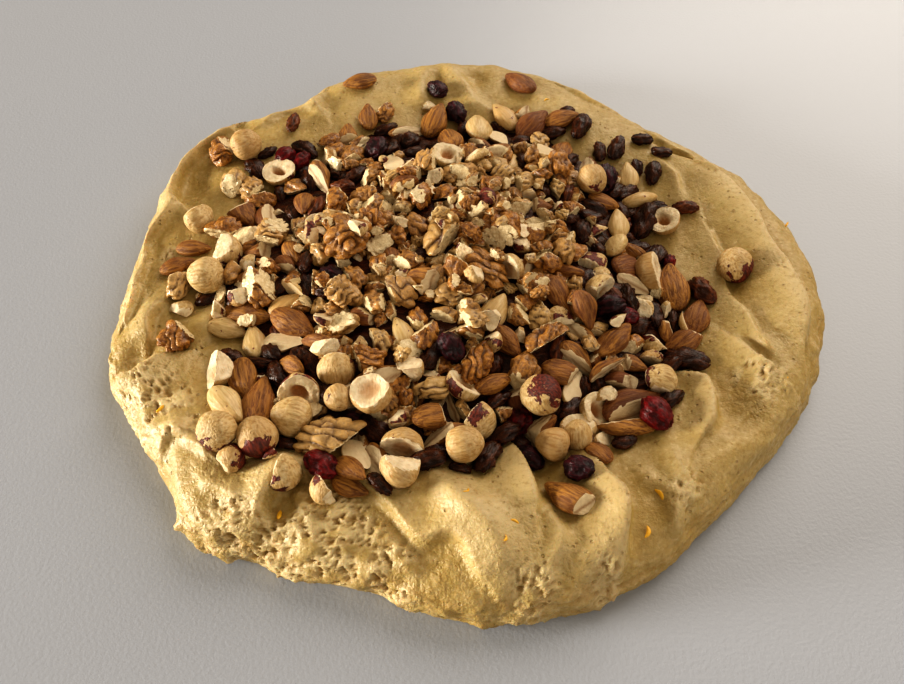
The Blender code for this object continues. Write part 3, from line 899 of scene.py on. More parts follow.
LOWEST = (
    ("raisin", -93, -48, -30, 15), ("raisin", -81, -52, 10, 14), ("split", -82, -91, 200, 10),
    ("raisin", -72, -57, 80, 15), ("raisin", -59, -51, -60, 16), ("raisin", -66, -86, 20, 13),
    ("raisin", -52, -66, 0, 15), ("cranberry", -53, -97, -10, 13), ("split", -50, -103, -10, 11),
    ("raisin", -30, -102, -30, 12), ("almond", -42, -102, -50, 14), ("cherry", -45, -78, 10, 12),
    ("raisin", -35, -82, 10, 17), ("raisin", -17, -94, 10, 15), ("raisin", -6, -98, 0, 9),
    ("raisin", 4, -92, 65, 15), ("raisin", -12, -88, 10, 13), ("raisin", 8, -81, 10, 15),
    ("raisin", 8, -68, 0, 14), ("raisin", 18, -82, 0, 12), ("cranberry", 14, -74, 10, 12),
    ("cherry", 21, -89, -60, 11), ("cherry", 36, -97, -40, 12), ("raisin", 53, -85, 60, 10),
    ("cranberry", 62, -77, 50, 14), ("raisin", 71, -66, 70, 14), ("raisin", 81, -47, 25, 20),
    ("raisin", 73, -53, 20, 13), ("raisin", 57, -45, 0, 14), ("raisin", 60, -22, 60, 16),
    ("raisin", 63, -32, 70, 14), ("sultana", 93, -14, -50, 17), ("cherry", 52, -28, 0, 13),
    ("cranberry", 60, -30, 70, 10), ("cranberry", 83, 4, 60, 8), ("raisin", 76, 7, 75, 18),
    ("raisin", 73, 28, 55, 20), ("raisin", 80, 36, 30, 12), ("raisin", 50, 23, 10, 11),
    ("raisin", 70, 43, 30, 14), ("raisin", 83, 55, 50, 14), ("raisin", 76, 60, 80, 10),
    ("cherry", 60, 47, 20, 15), ("raisin", 68, 70, 65, 15), ("raisin", 60, 69, 65, 12),
    ("raisin", 53, 84, 75, 17), ("raisin", 47, 97, 30, 10), ("raisin", 40, 84, 70, 14),
    ("raisin", 25, 72, 60, 13), ("raisin", 4, 62, 20, 13), ("cherry", -6, 98, -60, 12),
    ("cherry", -41, 66, -70, 14), ("raisin", -38, 85, 60, 13), ("raisin", -70, 50, -60, 17),
    ("raisin", -76, 71, -55, 15), ("raisin", -97, 59, -60, 14), ("raisin", -93, 69, 20, 11),
    ("cranberry", -84, 65, -60, 11), ("cranberry", -78, 62, -60, 12), ("raisin", -62, 12, 20, 13),
    ("raisin", -95, -14, -60, 12), ("cherry", -56, -16, -70, 12), ("cherry", -9, -50, 10, 13),
)
MIDDLE = (
    ("almond", -42, -98, -50, 15, 5), ("split", -65, -96, 0, 13), ("hazelnut", -88, -84, 30, 14, 40),
    ("patched", -75, -85, -40, 14.5, 30), ("blanched", -89, -71, -55, 20, 10),
    ("split", -95, -54, 140, 15), ("almond", -84, -58, -60, 20), ("almond", -78, -69, 92, 24, 5),
    ("hazelnut", -64, -78, 10, 14.5, 70), ("half", -62, -65, 30, 15, -25),
    ("almond", -67, -54, 100, 16, 20), ("chip", -79, -57, 80, 7), ("almond", -58, -46, 150, 17, 10),
    ("split", -51, -56, 60, 14), ("blanched", -84, -38, 110, 18), ("slab", -72, -41, -60, 18, 10),
    ("almond", -69, -34, -30, 22, 5), ("blanched", -96, -30, -45, 17, 5), ("chip", -102, -23, -40, 10),
    ("almond", -89, -24, -32, 22, 10), ("blanched", -73, -23, -20, 15), ("kernel", -50, -86, -20, 23),
    ("slab", -41, -92, -45, 16), ("almond_piece", -34, -93, 60, 15, 20), ("split", -27, -98, 20, 14),
    ("split", -26, -89, 30, 15, 10), ("almond", -10, -84, 15, 17), ("hazelnut", -4, -90, 200, 13, 60),
    ("split", 0, -77, 60, 15), ("almond", -16, -77, 30, 19, 8), ("slab", -28, -81, -25, 15),
    ("almond", -35, -62, 10, 22), ("hazelnut", -49, -71, 40, 10, 50), ("split", -35, -73, -40, 15),
    ("chip", -45, -66, 20, 9), ("chip", -26, -77, 70, 9), ("walnut", -24, -69, 20, 12),
    ("walnut", -16, -66, 70, 17), ("half", -5, -66, 80, 14, -28), ("almond", 7, -61, 20, 17, 5),
    ("walnut", 3, -55, 28, 18), ("kernel", 19, -57, 100, 16), ("patched", 25, -69, 130, 15, 150),
    ("almond_piece", 23, -78, -15, 18), ("hazelnut", 26, -85, 60, 12, 40), ("split", 35, -82, 120, 11),
    ("chip", 37, -76, 20, 12), ("chip", 45, -83, 40, 10), ("almond", 42, -89, 100, 15, 25),
    ("almond", 54, -77, 5, 22, 4), ("almond", 57, -67, 10, 24, 6), ("half", 43, -70, 40, 13, 10),
    ("slab", 39, -62, 50, 15, 5), ("almond", 31, -58, -20, 18, 5), ("almond_piece", 54, -59, 5, 15),
    ("almond_piece", 49, -55, 15, 14), ("split", 68, -60, 20, 13), ("almond", 60, -52, -40, 13),
    ("chip", 68, -50, 80, 10), ("chip", 70, -40, 50, 12), ("almond", 82, -39, 10, 18, 5),
    ("almond", 54, -42, 25, 21), ("almond", 39, -50, -50, 18), ("almond_piece", 41, -41, -50, 14),
    ("almond", 12, -45, -20, 17), ("walnut", 27, -45, 20, 19), ("almond", 88, -27, 60, 18, 5),
    ("slab", 82, -29, 70, 13), ("almond_piece", 76, -31, 40, 12), ("chip", 67, -25, -70, 12),
    ("split", 48, -21, 30, 13, 10), ("almond", 42, -32, -80, 16, 10), ("almond", 81, -11, 62, 25, 5),
    ("half", 69, -8, 60, 17), ("almond", 62, -5, 55, 21), ("blanched", 59, 7, 60, 19, 5),
    ("blanched", 64, 23, 60, 16, 10), ("almond_piece", 68, 11, 60, 13), ("half", 83, 26, 70, 14, 10),
    ("chip", 51, 14, 40, 11), ("chip", 47, -5, 20, 13), ("chip", 50, -12, 60, 9),
    ("blanched", 75, 38, 50, 18, 8), ("blanched", 72, 54, 75, 16, 30), ("hazelnut", 50, 38, 20, 13, 40),
    ("almond", 56, 32, 55, 15), ("almond", 54, 58, 80, 17, 10), ("almond", 43, 68, 85, 18, 10),
    ("almond", 44, 90, 25, 18, 10), ("almond", 30, 87, 50, 22, 10), ("almond_piece", 26, 94, 60, 14),
    ("blanched", 17, 94, 85, 19, 10), ("slab", 14, 76, -60, 14), ("blanched", 4, 85, 103, 23, 8),
    ("almond", -16, 92, 80, 22, 15), ("chip", -19, 103, 70, 8), ("almond", -9, 75, 85, 20, 12),
    ("half", -9, 56, 30, 14, -10), ("almond", 0, 58, -65, 16), ("chip", -14, 66, 60, 11),
    ("almond_piece", -30, 82, 60, 16, 10), ("almond", -48, 93, 100, 16, 10),
    ("walnut", -40, 96, 90, 13), ("almond", -57, 81, 100, 17, 10), ("walnut", -64, 74, 60, 13),
    ("walnut", -61, 66, 100, 16), ("walnut", -54, 64, -60, 15), ("walnut", -58, 56, -60, 14),
    ("almond", -66, 48, -60, 18, 5), ("half", -86, 55, 40, 15, -20), ("walnut", -105, 49, -60, 16),
    ("walnut", -98, 46, -50, 15), ("walnut", -92, 39, -20, 15), ("walnut", -78, 45, -60, 14),
    ("walnut", -106, 22, 10, 16.5), ("split", -117, 26, 140, 13), ("almond", -117, 11, 5, 15),
    ("almond", -122, 1, 20, 15), ("walnut", -119, -10, 60, 15), ("chip", -116, -22, 0, 10),
    ("almond", -98, 30, -65, 21), ("almond", -88, 26, -55, 20, 5), ("walnut", -95, 15, -30, 16),
    ("hazelnut", -106, -10, 250, 15, 30), ("chip", -100, 6, -60, 14), ("walnut", -97, -7, -60, 14),
    ("chip", -92, -2, 20, 11), ("walnut", -86, -15, -50, 18), ("walnut", -82, -7, -30, 13),
    ("walnut", -90, 6, 20, 11), ("walnut", -82, 13, 60, 20), ("almond", -72, 0, -60, 15),
    ("slab", -68, -17, -75, 14, 5), ("walnut", -63, -16, -75, 12), ("walnut", -62, -3, 100, 13),
    ("almond", -72, 30, -60, 17), ("chip", -66, 17, 80, 9), ("walnut", -56, 17, 10, 16),
    ("walnut", -56, 30, -60, 16),
)
HIGHEST = (
    ("kernel", -50, 3, 100, 26, 5), ("walnut", -50, -27, -60, 19), ("walnut", -51, -37, -60, 15),
    ("walnut", -45, -16, -75, 14), ("walnut", -38, -30, 90, 15), ("walnut", -26, -25, -5, 17),
    ("walnut", -36, 3, 80, 15), ("walnut", -35, -8, -60, 12), ("kernel", -11, 1, 95, 24, 5),
    ("walnut", -21, 10, -30, 14), ("kernel", 10, 8, 88, 24, 5), ("walnut", -2, 1, -50, 17),
    ("kernel", 4, -14, -62, 21), ("split", 16, -15, 60, 13), ("walnut", -25, -10, 60, 15),
    ("walnut", -15, -16, -70, 12), ("walnut", -5, -17, -65, 16), ("almond_piece", -18, -19, -35, 17, 5),
    ("walnut", -8, -27, 0, 15), ("walnut", -11, -33, 40, 12), ("walnut", -2, -35, 20, 14),
    ("walnut", 0, -41, 0, 13), ("blanched", 8, -33, 80, 18, 5), ("walnut", 24, -22, 30, 15),
    ("almond", 34, -23, -65, 18), ("almond", 39, -16, -70, 16, 10), ("chip", 31, -34, 80, 10),
    ("walnut", 19, -33, 0, 12), ("walnut", 29, -11, 20, 16), ("walnut", 37, -4, 70, 16),
    ("walnut", 26, 7, 60, 15), ("walnut", 35, 9, 60, 12), ("walnut", -11, 28, 95, 16, 10),
    ("walnut", -22, 29, 60, 16), ("almond_piece", -28, 36, 120, 16, 10), ("walnut", -41, 10, -75, 18),
    ("walnut", -18, -43, 70, 14), ("blanched", -27, -42, 100, 14, 15), ("walnut", -34, -45, -50, 12),
    ("walnut", -24, -51, -10, 13), ("walnut", -38, -55, 15, 17), ("chip", -24, -58, -30, 12),
    ("chip", -16, -58, 30, 9), ("chip", -42, -49, 30, 8), ("walnut", -1, -48, -40, 10),
    ("walnut", -20, 50, 100, 17, 10), ("chip", -27, 50, 40, 11), ("slab", -34, 54, 95, 16, 10),
    ("walnut", -2, 44, 90, 16, 5), ("walnut", 6, 50, 80, 13, 5), ("walnut", 13, 46, 40, 13),
    ("almond_piece", 14, 60, 70, 17, 15), ("slab", 20, 56, 80, 16, 10), ("walnut", 25, 56, 80, 14, 5),
    ("walnut", 24, 39, 60, 15), ("walnut", 31, 74, 80, 14), ("slab", 32, 60, 75, 17, 15),
    ("walnut", 38, 47, 55, 22, 5), ("walnut", 38, 35, 60, 12), ("walnut", 10, 36, 20, 12),
    ("walnut", -43, 44, -60, 13), ("walnut", -45, 30, 30, 14),
)
# What lies at the bottom, in no order: (kind, number, and the shares of the heap's outline that
# it lies between).
BED = (
    ("raisin", 62, 0.45, 0.92),
    ("sultana", 10, 0.45, 0.9),
    ("almond_piece", 30, 0, 0.8),
    ("walnut", 20, 0, 0.6),
    ("crumb", 50, 0, 0.85),
)
# Crumbs and small chips lie scattered on top: (x, y, reach, number of crumbs, number of chips).
SCATTER = (
    (0, 15, 36, 50, 12),
    (10, 35, 26, 26, 6),
    (-30, -5, 30, 24, 6),
    (-60, 5, 26, 20, 4),
    (35, 10, 24, 14, 5),
    (-5, -25, 26, 12, 6),
    (-25, 50, 24, 14, 6),
    (-80, 0, 20, 8, 4),
    (40, -35, 26, 3, 4),
    (-45, -55, 26, 4, 4),
)


# Flakes of zest in the dough's skin: (x, y, yaw, size).
ZEST = (
    (-114, -70, 70, 4),
    (-66, -112, -50, 4.5),
    (-4, -109, 60, 3),
    (12, -117, 20, 3),
    (8, -124, 80, 2.5),
    (57, -118, 70, 4.5),
    (64, -104, -30, 4.5),
    (115, -58, 80, 4),
    (91, -32, 30, 4),
    (101, -30, 10, 3),
    (137, 25, 60, 3),
    (87, 8, 60, 3),
    (38, 107, 20, 3),
    (-128, 20, 80, 3.5),
    (-97, 46, 10, 3),
)
# The pieces that lie apart, where the CAD model has them: (node, kind, size, yaw, tilt).
LOOSE = (
    ("hazelnut_right", "patched", 14.5, 0, 0),
    ("sultana_right", "sultana", 12.5, 150, 0),
    ("raisin_rear_right", "raisin", 11, 170, 0),
    ("raisin_rear_right_2", "raisin", 10.5, 150, 0),
    ("almond_rear", "almond", 21, 150, 8),
    ("cherry_rear", "cherry", 12, 0, 0),
    ("almond_rear_left", "almond", 17, 200, 10),
    ("sultana_rear_left", "sultana", 13, 80, 0),
    ("hazelnut_rear_left", "hazelnut", 14, 250, 75),
    ("walnut_rear_left", "kernel", 17, 100, 0),
    ("walnut_left", "kernel", 18, 60, 0),
    ("almond_front", "stub", 18, 143, 8),
)
# How high above the ground each lot of pieces starts, in mm.
BED_LIFT = 1
LAYERS = ((5, LOWEST), (13, MIDDLE), (22, HIGHEST))
TOP_LIFT = 36
SKIN_LIFT = 0.5

CORE_DEPTH = 13  # how far the dark core stays below the heap's smooth height
CORE_RINGS = 40
CORE_RIM = 6  # heights of the core's edge and foot, inside the dough
CORE_FOOT = 4


class Ground:
    """The height in mm of what lies on the table, on a square grid."""

    STEP = 1.0
    REACH = 160

    def __init__(self):
        side = np.arange(-self.REACH, self.REACH + self.STEP, self.STEP)
        self.x, self.y = np.meshgrid(side, side)
        self.height = np.zeros(self.x.shape)

    def at(self, x, y):
        """The ground's height and its slopes along X and Y at arrays x and y."""
        u = np.clip((x + self.REACH) / self.STEP, 1, len(self.x) - 3)
        v = np.clip((y + self.REACH) / self.STEP, 1, len(self.x) - 3)
        i, j = u.astype(int), v.astype(int)
        u, v = u - i, v - j
        h = self.height
        a, b, c, d = h[j, i], h[j, i + 1], h[j + 1, i], h[j + 1, i + 1]
        near = a + (b - a) * u
        far = c + (d - c) * u
        slope_x = ((b - a) * (1 - v) + (d - c) * v) / self.STEP
        return near + (far - near) * v, slope_x, (far - near) / self.STEP


def rotation(axis, angle):
    """The matrix of a turn about an axis, in degrees."""
    return np.array(Matrix.Rotation(math.radians(angle), 3, axis))


def stand_ins(local):
    """Balls that stand in for a piece while it settles: their middles and radii."""
    half = (local.max(axis=0) - local.min(axis=0)) / 2
    middle = (local.max(axis=0) + local.min(axis=0)) / 2
    radius = 0.96 * half.min()
    balls = [(middle, radius)]
    for axis in range(3):
        out = half[axis] - radius
        if out < 0.18 * radius:
            continue
        step = np.zeros(3)
        step[axis] = out
        ends = [(0.94, 0.82)] if out < 1.3 * radius else [(0.5, 0.95), (0.96, 0.75)]
        for share, size in ends:
            balls.append((middle + share * step, size * radius))
            balls.append((middle - share * step, size * radius))
    return balls


class Heap:
    """Pieces that are let down together on the ground and on each other."""

    STEPS = 230
    SLOW_STEPS = 50  # the last ones, in which the fall dies away
    PASSES = 3  # of pushing apart, in each step
    PAIRS_LAST = 6  # steps before the near pairs are looked up again
    FALL = 0.28
    PULL = 0.05  # back to where a piece started, as a share of the way
    SINK = 0.5  # how far each ball is let into the ground
    STIFFNESS = 3.0  # how much a piece resists turning

    def __init__(self, ground):
        self.ground = ground
        self.pieces = []

    def add(self, lift, kind, x, y, yaw, size, tilt=0):
        """Makes one piece, that lift above the ground at (x, y)."""
        joined, material, shape, templates, fine, spin = KINDS[kind]
        ball, faces = templates[size >= fine]
        seed = random.uniform(0, 60)
        local, marks = shape(ball, size, seed)
        balls = stand_ins(local)
        middle = np.mean([place for place, _ in balls], axis=0)
        turn = rotation("Z", yaw) @ rotation("Y", -tilt) @ rotation("X", random.uniform(-spin, spin))
        height, *slope = self.ground.at(np.array([x]), np.array([y]))
        lean = Vector((-slope[0][0], -slope[1][0], 1)).normalized()
        lean = np.array(Vector((0, 0, 1)).rotation_difference(lean).to_matrix())
        for mark in ("cut", "hollow", "crease"):
            marks.setdefault(mark, np.zeros(len(local)))
        marks["tone"] = np.full(len(local), random.uniform(0, 1) ** 2.2)
        marks.setdefault("skin", np.full(len(local), random.uniform(-0.2, 1)))
        self.pieces.append(
            {
                "joined": joined,
                "material": material,
                "points": local - middle,
                "local": local + seed * 10,
                "faces": faces,
                "marks": marks,
                "balls": [(place - middle, radius) for place, radius in balls],
                "turn": lean @ turn,
                "place": np.array([x, y, height[0] + lift + 0.3 * size]),
                "weight": size**-1.5,
            }
        )

    def settle(self):
        """Lets all pieces down, pushed apart where their balls meet and rigid as a whole."""
        count = [len(piece["balls"]) for piece in self.pieces]
        owner = np.repeat(np.arange(len(self.pieces)), count)
        offset = np.array([ball[0] for piece in self.pieces for ball in piece["balls"]])
        radius = np.array([ball[1] for piece in self.pieces for ball in piece["balls"]])
        weight = np.array([piece["weight"] for piece in self.pieces])[owner]
        turn = np.array([piece["turn"] for piece in self.pieces])
        place = np.array([piece["place"] for piece in self.pieces])
        aim = place[:, :2].copy()
        for step in range(self.STEPS):
            place[:, 2] -= self.FALL * min(1, (self.STEPS - step) / self.SLOW_STEPS)
            place[:, :2] += self.PULL * (aim - place[:, :2])
            balls = place[owner] + (turn[owner] @ offset[:, :, None])[:, :, 0]
            if step % self.PAIRS_LAST == 0:
                first, second = near_pairs(balls, radius, owner)
            for _ in range(self.PASSES):
                balls += push_apart(balls, radius, weight, first, second)
                height, slope_x, slope_y = self.ground.at(balls[:, 0], balls[:, 1])
                steep = np.sqrt(1 + slope_x**2 + slope_y**2)
                deep = np.maximum(0, height - self.SINK + radius * steep - balls[:, 2]) / steep**2
                balls += deep[:, None] * np.column_stack([-slope_x, -slope_y, np.ones(len(deep))])
            place = np.column_stack([np.bincount(owner, balls[:, k]) / count for k in range(3)])
            away = balls - place[owner]
            grip = (away[:, :, None] * offset[:, None, :]).reshape(-1, 9)
            grip = np.column_stack([np.bincount(owner, grip[:, k]) for k in range(9)])
            left, _, right = np.linalg.svd(grip.reshape(-1, 3, 3) + self.STIFFNESS * turn)
            flip = np.ones((len(place), 3))
            flip[:, 2] = np.linalg.det(left @ right)
            turn = (left * flip[:, None, :]) @ right
        for piece, at, way in zip(self.pieces, place, turn):
            piece["points"] = piece["points"] @ way.T + at

    def join(self):
        """One mesh object for each kind."""
        made = {}
        for name in dict.fromkeys(piece["joined"] for piece in self.pieces):
            parts = [piece for piece in self.pieces if piece["joined"] == name]
            points = np.vstack([part["points"] for part in parts])
            faces = []
            start = 0
            for part in parts:
                faces += [[start + corner for corner in face] for face in part["faces"]]
                start += len(part["points"])
            mesh = bpy.data.meshes.new(name)
            mesh.from_pydata(points * MM, [], faces)
            local = mesh.attributes.new("local", "FLOAT_VECTOR", "POINT")
            local.data.foreach_set("vector", np.vstack([part["local"] for part in parts]).ravel())
            for mark in ("cut", "hollow", "crease", "tone", "skin"):
                values = np.concatenate([part["marks"][mark] for part in parts])
                mesh.attributes.new(mark, "FLOAT", "POINT").data.foreach_set("value", values)
            mesh.shade_smooth()
            slot = parts[0]["material"]
            mesh.materials.append(MATERIALS[slot])
            made[name] = add_piece(name, mesh)
        return made


def near_pairs(balls, radius, owner):
    """The pairs of balls of different pieces that are close enough to meet soon."""
    block_size = 400
    widest = 16  # mm along X, beyond which no pair is looked for
    margin = 2.5  # mm, that they may come closer before the next look
    order = np.argsort(balls[:, 0])
    across = balls[order].astype(np.float32)
    firsts, seconds = [], []
    for start in range(0, len(order), block_size):
        end = start + block_size
        block = across[start:end]
        limit = np.searchsorted(across[:, 0], block[-1, 0] + widest)
        rest = across[start:limit]
        far = ((block[:, None, :] - rest[None, :, :]) ** 2).sum(axis=2)
        reach = radius[order[start:end], None] + radius[order[start:limit]] + margin
        i, j = np.nonzero(far < reach**2)
        keep = i < j
        firsts.append(order[start + i[keep]])
        seconds.append(order[start + j[keep]])
    first, second = np.concatenate(firsts), np.concatenate(seconds)
    apart = owner[first] != owner[second]
    return first[apart], second[apart]


def push_apart(balls, radius, weight, first, second):
    """How each ball moves away from those that it overlaps."""
    away = balls[first] - balls[second]
    far = np.maximum(np.linalg.norm(away, axis=1), 1e-6)
    over = np.maximum(0, radius[first] + radius[second] - far)
    way = away * (over / far)[:, None]
    share = weight[first] / (weight[first] + weight[second])
    touch = over > 0
    total = len(balls)
    met = np.bincount(first[touch], minlength=total) + np.bincount(second[touch], minlength=total)
    moved = np.column_stack(
        [
            np.bincount(first, way[:, k] * share, total)
            - np.bincount(second, way[:, k] * (1 - share), total)
            for k in range(3)
        ]
    )
    return moved / np.maximum(1, 0.6 * met)[:, None]


def add_piece(name, mesh):
    """An object of the part, riding on its one body."""
    made = bpy.data.objects.new(name, mesh)
    bpy.context.scene.collection.objects.link(made)
    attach(made, "root")
    return made


# ---------------------------------------------------------------------------------------------
# Making it all
# ---------------------------------------------------------------------------------------------


def dough_detail(points):
    """Pushes the fine surface in and out: torn webs, crumbled skin, shreds, wrinkles and pores.

    Returns the push in mm, and how much each point gets painted shade as a pit, painted highlight as a
    strand, crumbled skin, and painted light and shade from the folds' height.
    """
    x, y, z = points.T
    radius = np.hypot(x, y)
    angle = np.arctan2(y, x)
    edge = lobed(DOUGH_RADIUS, DOUGH_LOBES, angle)
    rim = smooth((radius / edge - 0.90) / 0.08)
    side = smooth((radius / edge - 0.955) / 0.03)
    torn = patches(x, y, TORN)
    rough = np.maximum(patches(x, y, ROUGH), 0.35 * rim)
    warp = np.column_stack([field(points, 7, k) for k in (1.0, 12.0, 23.0)])
    fine_warp = np.column_stack([field(points, 2.6, k) for k in (3.0, 14.0, 25.0)])
    drawn = points * np.array([1.05, 0.85, 0.9]) + 1.8 * warp + 1.1 * fine_warp
    _, wall = cells(drawn, 3.4)
    _, small_wall = cells(drawn, 2.0, 7.0)
    strands = 1 - smooth((wall - 0.10) / 0.24) * (0.45 + 0.55 * smooth((small_wall - 0.1) / 0.3))
    opened = smooth(1.0 + 3.0 * field(points, 6, 6.0)) * smooth(2.2 * torn - 0.2)
    hole = (1 - strands) * opened
    crumble = 0.6 * field(points + 1.2 * warp, 3.2, 4.0) + 0.8 * field(points + fine_warp, 1.9, 5.0)
    shreds = ridges(points + 1.2 * fine_warp, 2.8, 40.0) - 0.5
    dimples = field(points + fine_warp, 2.0, 31.0)
    fibre = field(np.column_stack([angle * 95, radius * 0.2, z * 0.6]) + fine_warp, 2.8, 9.0)
    taut = smooth((radius - 85) / 20) * (1 - rough) * (1 - rim)
    layers = points * np.array([0.35, 0.35, 1.6]) + 1.6 * warp + 0.8 * fine_warp
    cracks = ridges(layers, 4.5, 2.0) - 0.5
    bubble, _ = cells(points + 0.6 * fine_warp, 8.5, 15.0)
    pore = smooth(1 - bubble / 0.085)
    lumps = field(points + 2 * warp, 9, 2.0)
    push = -1.7 * hole + 0.34 * rough * crumble + 0.08 * dimples + 0.45 * lumps
    push += 0.08 * taut * fibre + 0.5 * side * cracks * (0.3 + rough) - 0.4 * pore
    push += 0.45 * side * shreds * (0.25 + rough) + (0.9 * torn + 1.3 * rim * (0.3 + rough)) * lumps
    for spike_x, spike_y, height, length, width in SPIKES:
        near = ((x - spike_x) ** 2 + (y - spike_y) ** 2) / width**2 + ((z - height) / 2.0) ** 2
        push += length * np.exp(-near) * (1 + 0.7 * crumble)
    # Painted shade: the web's holes, the pore dents and the cracks in the side.
    pit = np.maximum(hole, 0.45 * pore)
    pit = np.maximum(pit, 0.35 * side * smooth(-2.0 * cracks) * (0.4 + rough))
    # Painted highlight: the web's strands and the tops of the crumbled skin.
    strand_highlight = np.maximum(opened * strands, 0.5 * rough * smooth(1.6 * crumble))
    # Painted light and shade: high on the folds' ridges, low in their hollows.
    painted_relief_light = smooth(0.45 + relief(x, y) / 9)
    return push, pit, strand_highlight, rough, painted_relief_light


def make_dough():
    """The slab with its fine surface."""
    mesh = bmesh.new()
    verts, ring, angle = disc_grid(mesh, COARSE_RINGS + FINE_RINGS)
    for vert, point in zip(verts, dough_top(ring, angle)):
        vert.co = point
    for step in range(1, SIDE_STEPS + 1):
        loop = extrude_border(mesh)
        angle = np.array([math.atan2(vert.co.y, vert.co.x) for vert in loop])
        for vert, point in zip(loop, dough_side(step, angle)):
            vert.co = point
    close_foot(mesh)
    mesh.normal_update()
    mesh.verts.ensure_lookup_table()
    points = np.array([vert.co for vert in mesh.verts])
    normals = np.array([vert.normal for vert in mesh.verts])
    push, pit, strand_highlight, rough, painted_relief_light = dough_detail(points)
    held = smooth(points[:, 2] / 2.5)
    points += normals * (push * held)[:, None]
    points[:, 2] = np.maximum(points[:, 2], 0)
    data = to_data(mesh, "dough_surface")
    data.vertices.foreach_set("co", (points * MM).ravel())
    marks = {"pit": pit * held, "strand_highlight": strand_highlight * held, "crumb": rough * held, "painted_relief_light": painted_relief_light}
    for name, values in marks.items():
        data.attributes.new(name, "FLOAT", "POINT").data.foreach_set("value", values)
    data.update()
    data.shade_smooth()
    data.materials.append(dough_material())
    dough = add_piece("dough_surface", data)
    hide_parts("dough")


def core_dome(base, share):
    """The heap's smooth height over the dough, at a share of the way to its outline."""
    dome = np.clip(1 - share**2.2, 0, 1) ** 0.6
    return dome * (HEAP_HEIGHT - 0.8 * (base - BASIN_HEIGHT))


def make_core():
    """The core itself: dark and wrinkled like the dried fruit, so that it passes for it in gaps."""
    mesh = bmesh.new()
    verts, ring, angle = disc_grid(mesh, CORE_RINGS)
    radius = lobed(HEAP_RADIUS, HEAP_LOBES, angle) * ring / CORE_RINGS
    x, y, base = dough_base(radius, angle)
    share = ring / CORE_RINGS
    points = np.column_stack([x, y, base + core_dome(base, share) - CORE_DEPTH])
    crease = ridges(points, 7, 3.0)
    points[:, 2] += 1.2 * crease
    points[:, 2] = np.where(share < 1, points[:, 2], CORE_RIM)
    for vert, point in zip(verts, points):
        vert.co = point
    for vert in extrude_border(mesh):
        vert.co.z = CORE_FOOT
    close_foot(mesh)
    for vert in mesh.verts:
        vert.co *= MM
    data = to_data(mesh, "heap_core")
    local = np.zeros(len(data.vertices) * 3)
    data.vertices.foreach_get("co", local)
    data.attributes.new("local", "FLOAT_VECTOR", "POINT").data.foreach_set("vector", local / MM)
    data.shade_smooth()
    data.materials.append(MATERIALS["raisin"])
    core = add_piece("heap_core", data)
    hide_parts("nut_and_fruit_heap")


def lay_ground(ground):
    """Gives the ground the height of the dough, and of the core where it stands out of it."""
    angle = np.arctan2(ground.y, ground.x).ravel()
    radius = np.hypot(ground.x, ground.y).ravel()
    _, _, base = dough_base(radius, angle)
    share = radius / lobed(HEAP_RADIUS, HEAP_LOBES, angle)
    rise = core_dome(base, share) - CORE_DEPTH
    inside = radius < lobed(DOUGH_RADIUS, DOUGH_LOBES, angle)
    ground.height = np.where(inside, base + np.maximum(rise, 0), 0).reshape(ground.x.shape)


def main():
    make_dough()
    ground = Ground()
    lay_ground(ground)
    make_core()
    heap = Heap(ground)
    for kind, number, inner, outer in BED:
        for _ in range(number):
            way = random.uniform(0, 2 * math.pi)
            reach = math.sqrt(random.uniform(inner**2, outer**2))
            radius = reach * lobed(HEAP_RADIUS, HEAP_LOBES, np.array([way]))[0]
            spot = (radius * math.cos(way), radius * math.sin(way))
            heap.add(BED_LIFT, kind, *spot, random.uniform(0, 360), random.uniform(10, 14))
    for lift, table in LAYERS:
        for row in table:
            heap.add(lift, *row)
    for x, y, reach, crumbs, chips in SCATTER:
        for kind in ["crumb"] * crumbs + ["chip"] * chips:
            spot = random.normal((x, y), 0.6 * reach)
            heap.add(TOP_LIFT, kind, *spot, random.uniform(0, 360), random.uniform(5, 10))
    for x, y, yaw, size in ZEST:
        heap.add(SKIN_LIFT, "zest", x, y, yaw, size)
    for node, kind, size, yaw, tilt in LOOSE:
        low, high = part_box(node)
        middle = 1000 * (low + high) / 2
        heap.add(SKIN_LIFT, kind, middle.x, middle.y, yaw, size, tilt)
    heap.settle()
    pieces = heap.join()
    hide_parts("almond_rear", "almond_rear_left")
    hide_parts("almond_front")
    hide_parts("hazelnut_right", "hazelnut_rear_left")
    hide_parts("walnut_left", "walnut_rear_left", "nut_and_fruit_heap")
    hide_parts("raisin_rear_right", "raisin_rear_right_2")
    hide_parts("sultana_right", "sultana_rear_left")
    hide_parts("cherry_rear")


main()

# ---------------------------------------------------------------------------------------------
# Floor, light and camera
# ---------------------------------------------------------------------------------------------

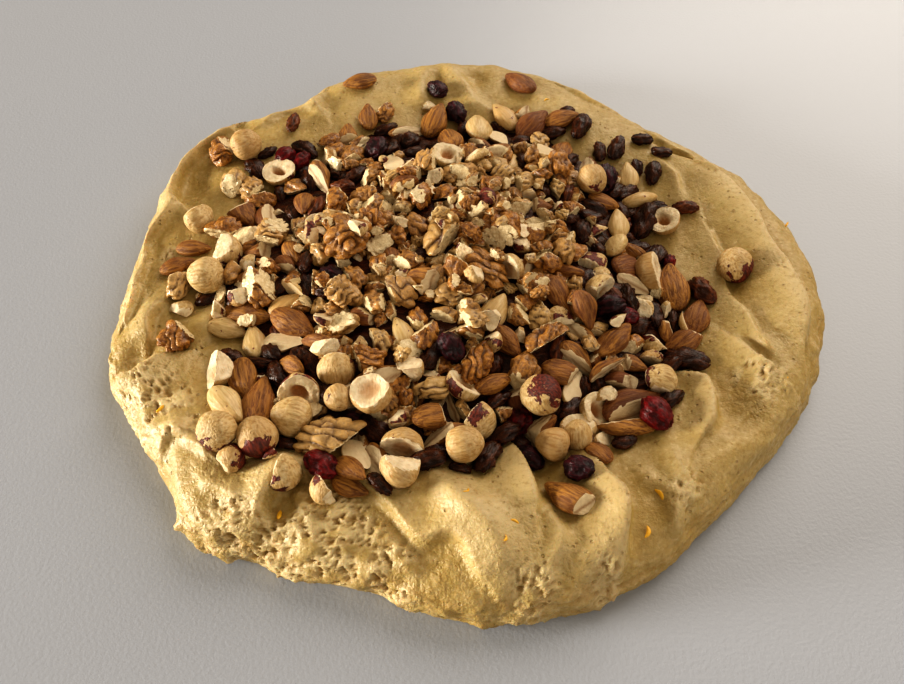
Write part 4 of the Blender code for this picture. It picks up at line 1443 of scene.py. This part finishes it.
CAMERA_TARGET = Vector((-0.008, -0.0255, 0))
CAMERA_DISTANCE = 0.351
CAMERA_ELEVATION = math.radians(53.5)
FOCAL = 850 / 904  # focal length as a share of the frame's width


def make_floor():
    n = Nodes("worktop")
    where = n.add("ShaderNodeTexCoord").outputs["Object"]
    grain = n.noise(where, 700, 3)
    colour = n.mix(n.noise(where, 3, 2), (0.400, 0.425, 0.485), (0.420, 0.445, 0.507))
    material = n.finish(colour, 0.36, n.bump(grain, 0.12))
    mesh = bmesh.new()
    bmesh.ops.create_grid(mesh, x_segments=1, y_segments=1, size=3)
    data = to_data(mesh, "floor")
    data.materials.append(material)
    floor = bpy.data.objects.new("floor", data)
    bpy.context.scene.collection.objects.link(floor)


def make_light(name, place, size, power, colour):
    light = bpy.data.lights.new(name, "AREA")
    light.shape = "DISK"
    light.size = size
    light.energy = power
    light.color = colour
    lamp = bpy.data.objects.new(name, light)
    lamp.location = place
    lamp.rotation_euler = (-Vector(place)).to_track_quat("-Z", "Y").to_euler()
    bpy.context.scene.collection.objects.link(lamp)


def make_camera():
    camera = bpy.data.cameras.new("camera")
    camera.sensor_width = 36
    camera.lens = 36 * FOCAL
    eye = bpy.data.objects.new("camera", camera)
    away = Vector((0, -math.cos(CAMERA_ELEVATION), math.sin(CAMERA_ELEVATION)))
    eye.location = CAMERA_TARGET + CAMERA_DISTANCE * away
    eye.rotation_euler = (-away).to_track_quat("-Z", "Y").to_euler()
    bpy.context.scene.collection.objects.link(eye)
    bpy.context.scene.camera = eye


make_floor()
make_light("window", (-4.1, -0.5, 0.48), 1.4, 285, (1.0, 0.95, 0.85))
make_light("room", (0.95, 1.5, 1.35), 2.0, 32, (1.0, 0.91, 0.80))
make_light("bounce", (1.3, -1.3, 1.0), 1.6, 9, (1.0, 0.94, 0.85))
world = bpy.data.worlds.new("world")
world.use_nodes = True
world.node_tree.nodes["Background"].inputs["Color"].default_value = (1.0, 0.85, 0.63, 1)
world.node_tree.nodes["Background"].inputs["Strength"].default_value = 0.30
bpy.context.scene.world = world
bpy.context.scene.view_settings.view_transform = "Standard"
bpy.context.scene.view_settings.look = "High Contrast"
make_camera()
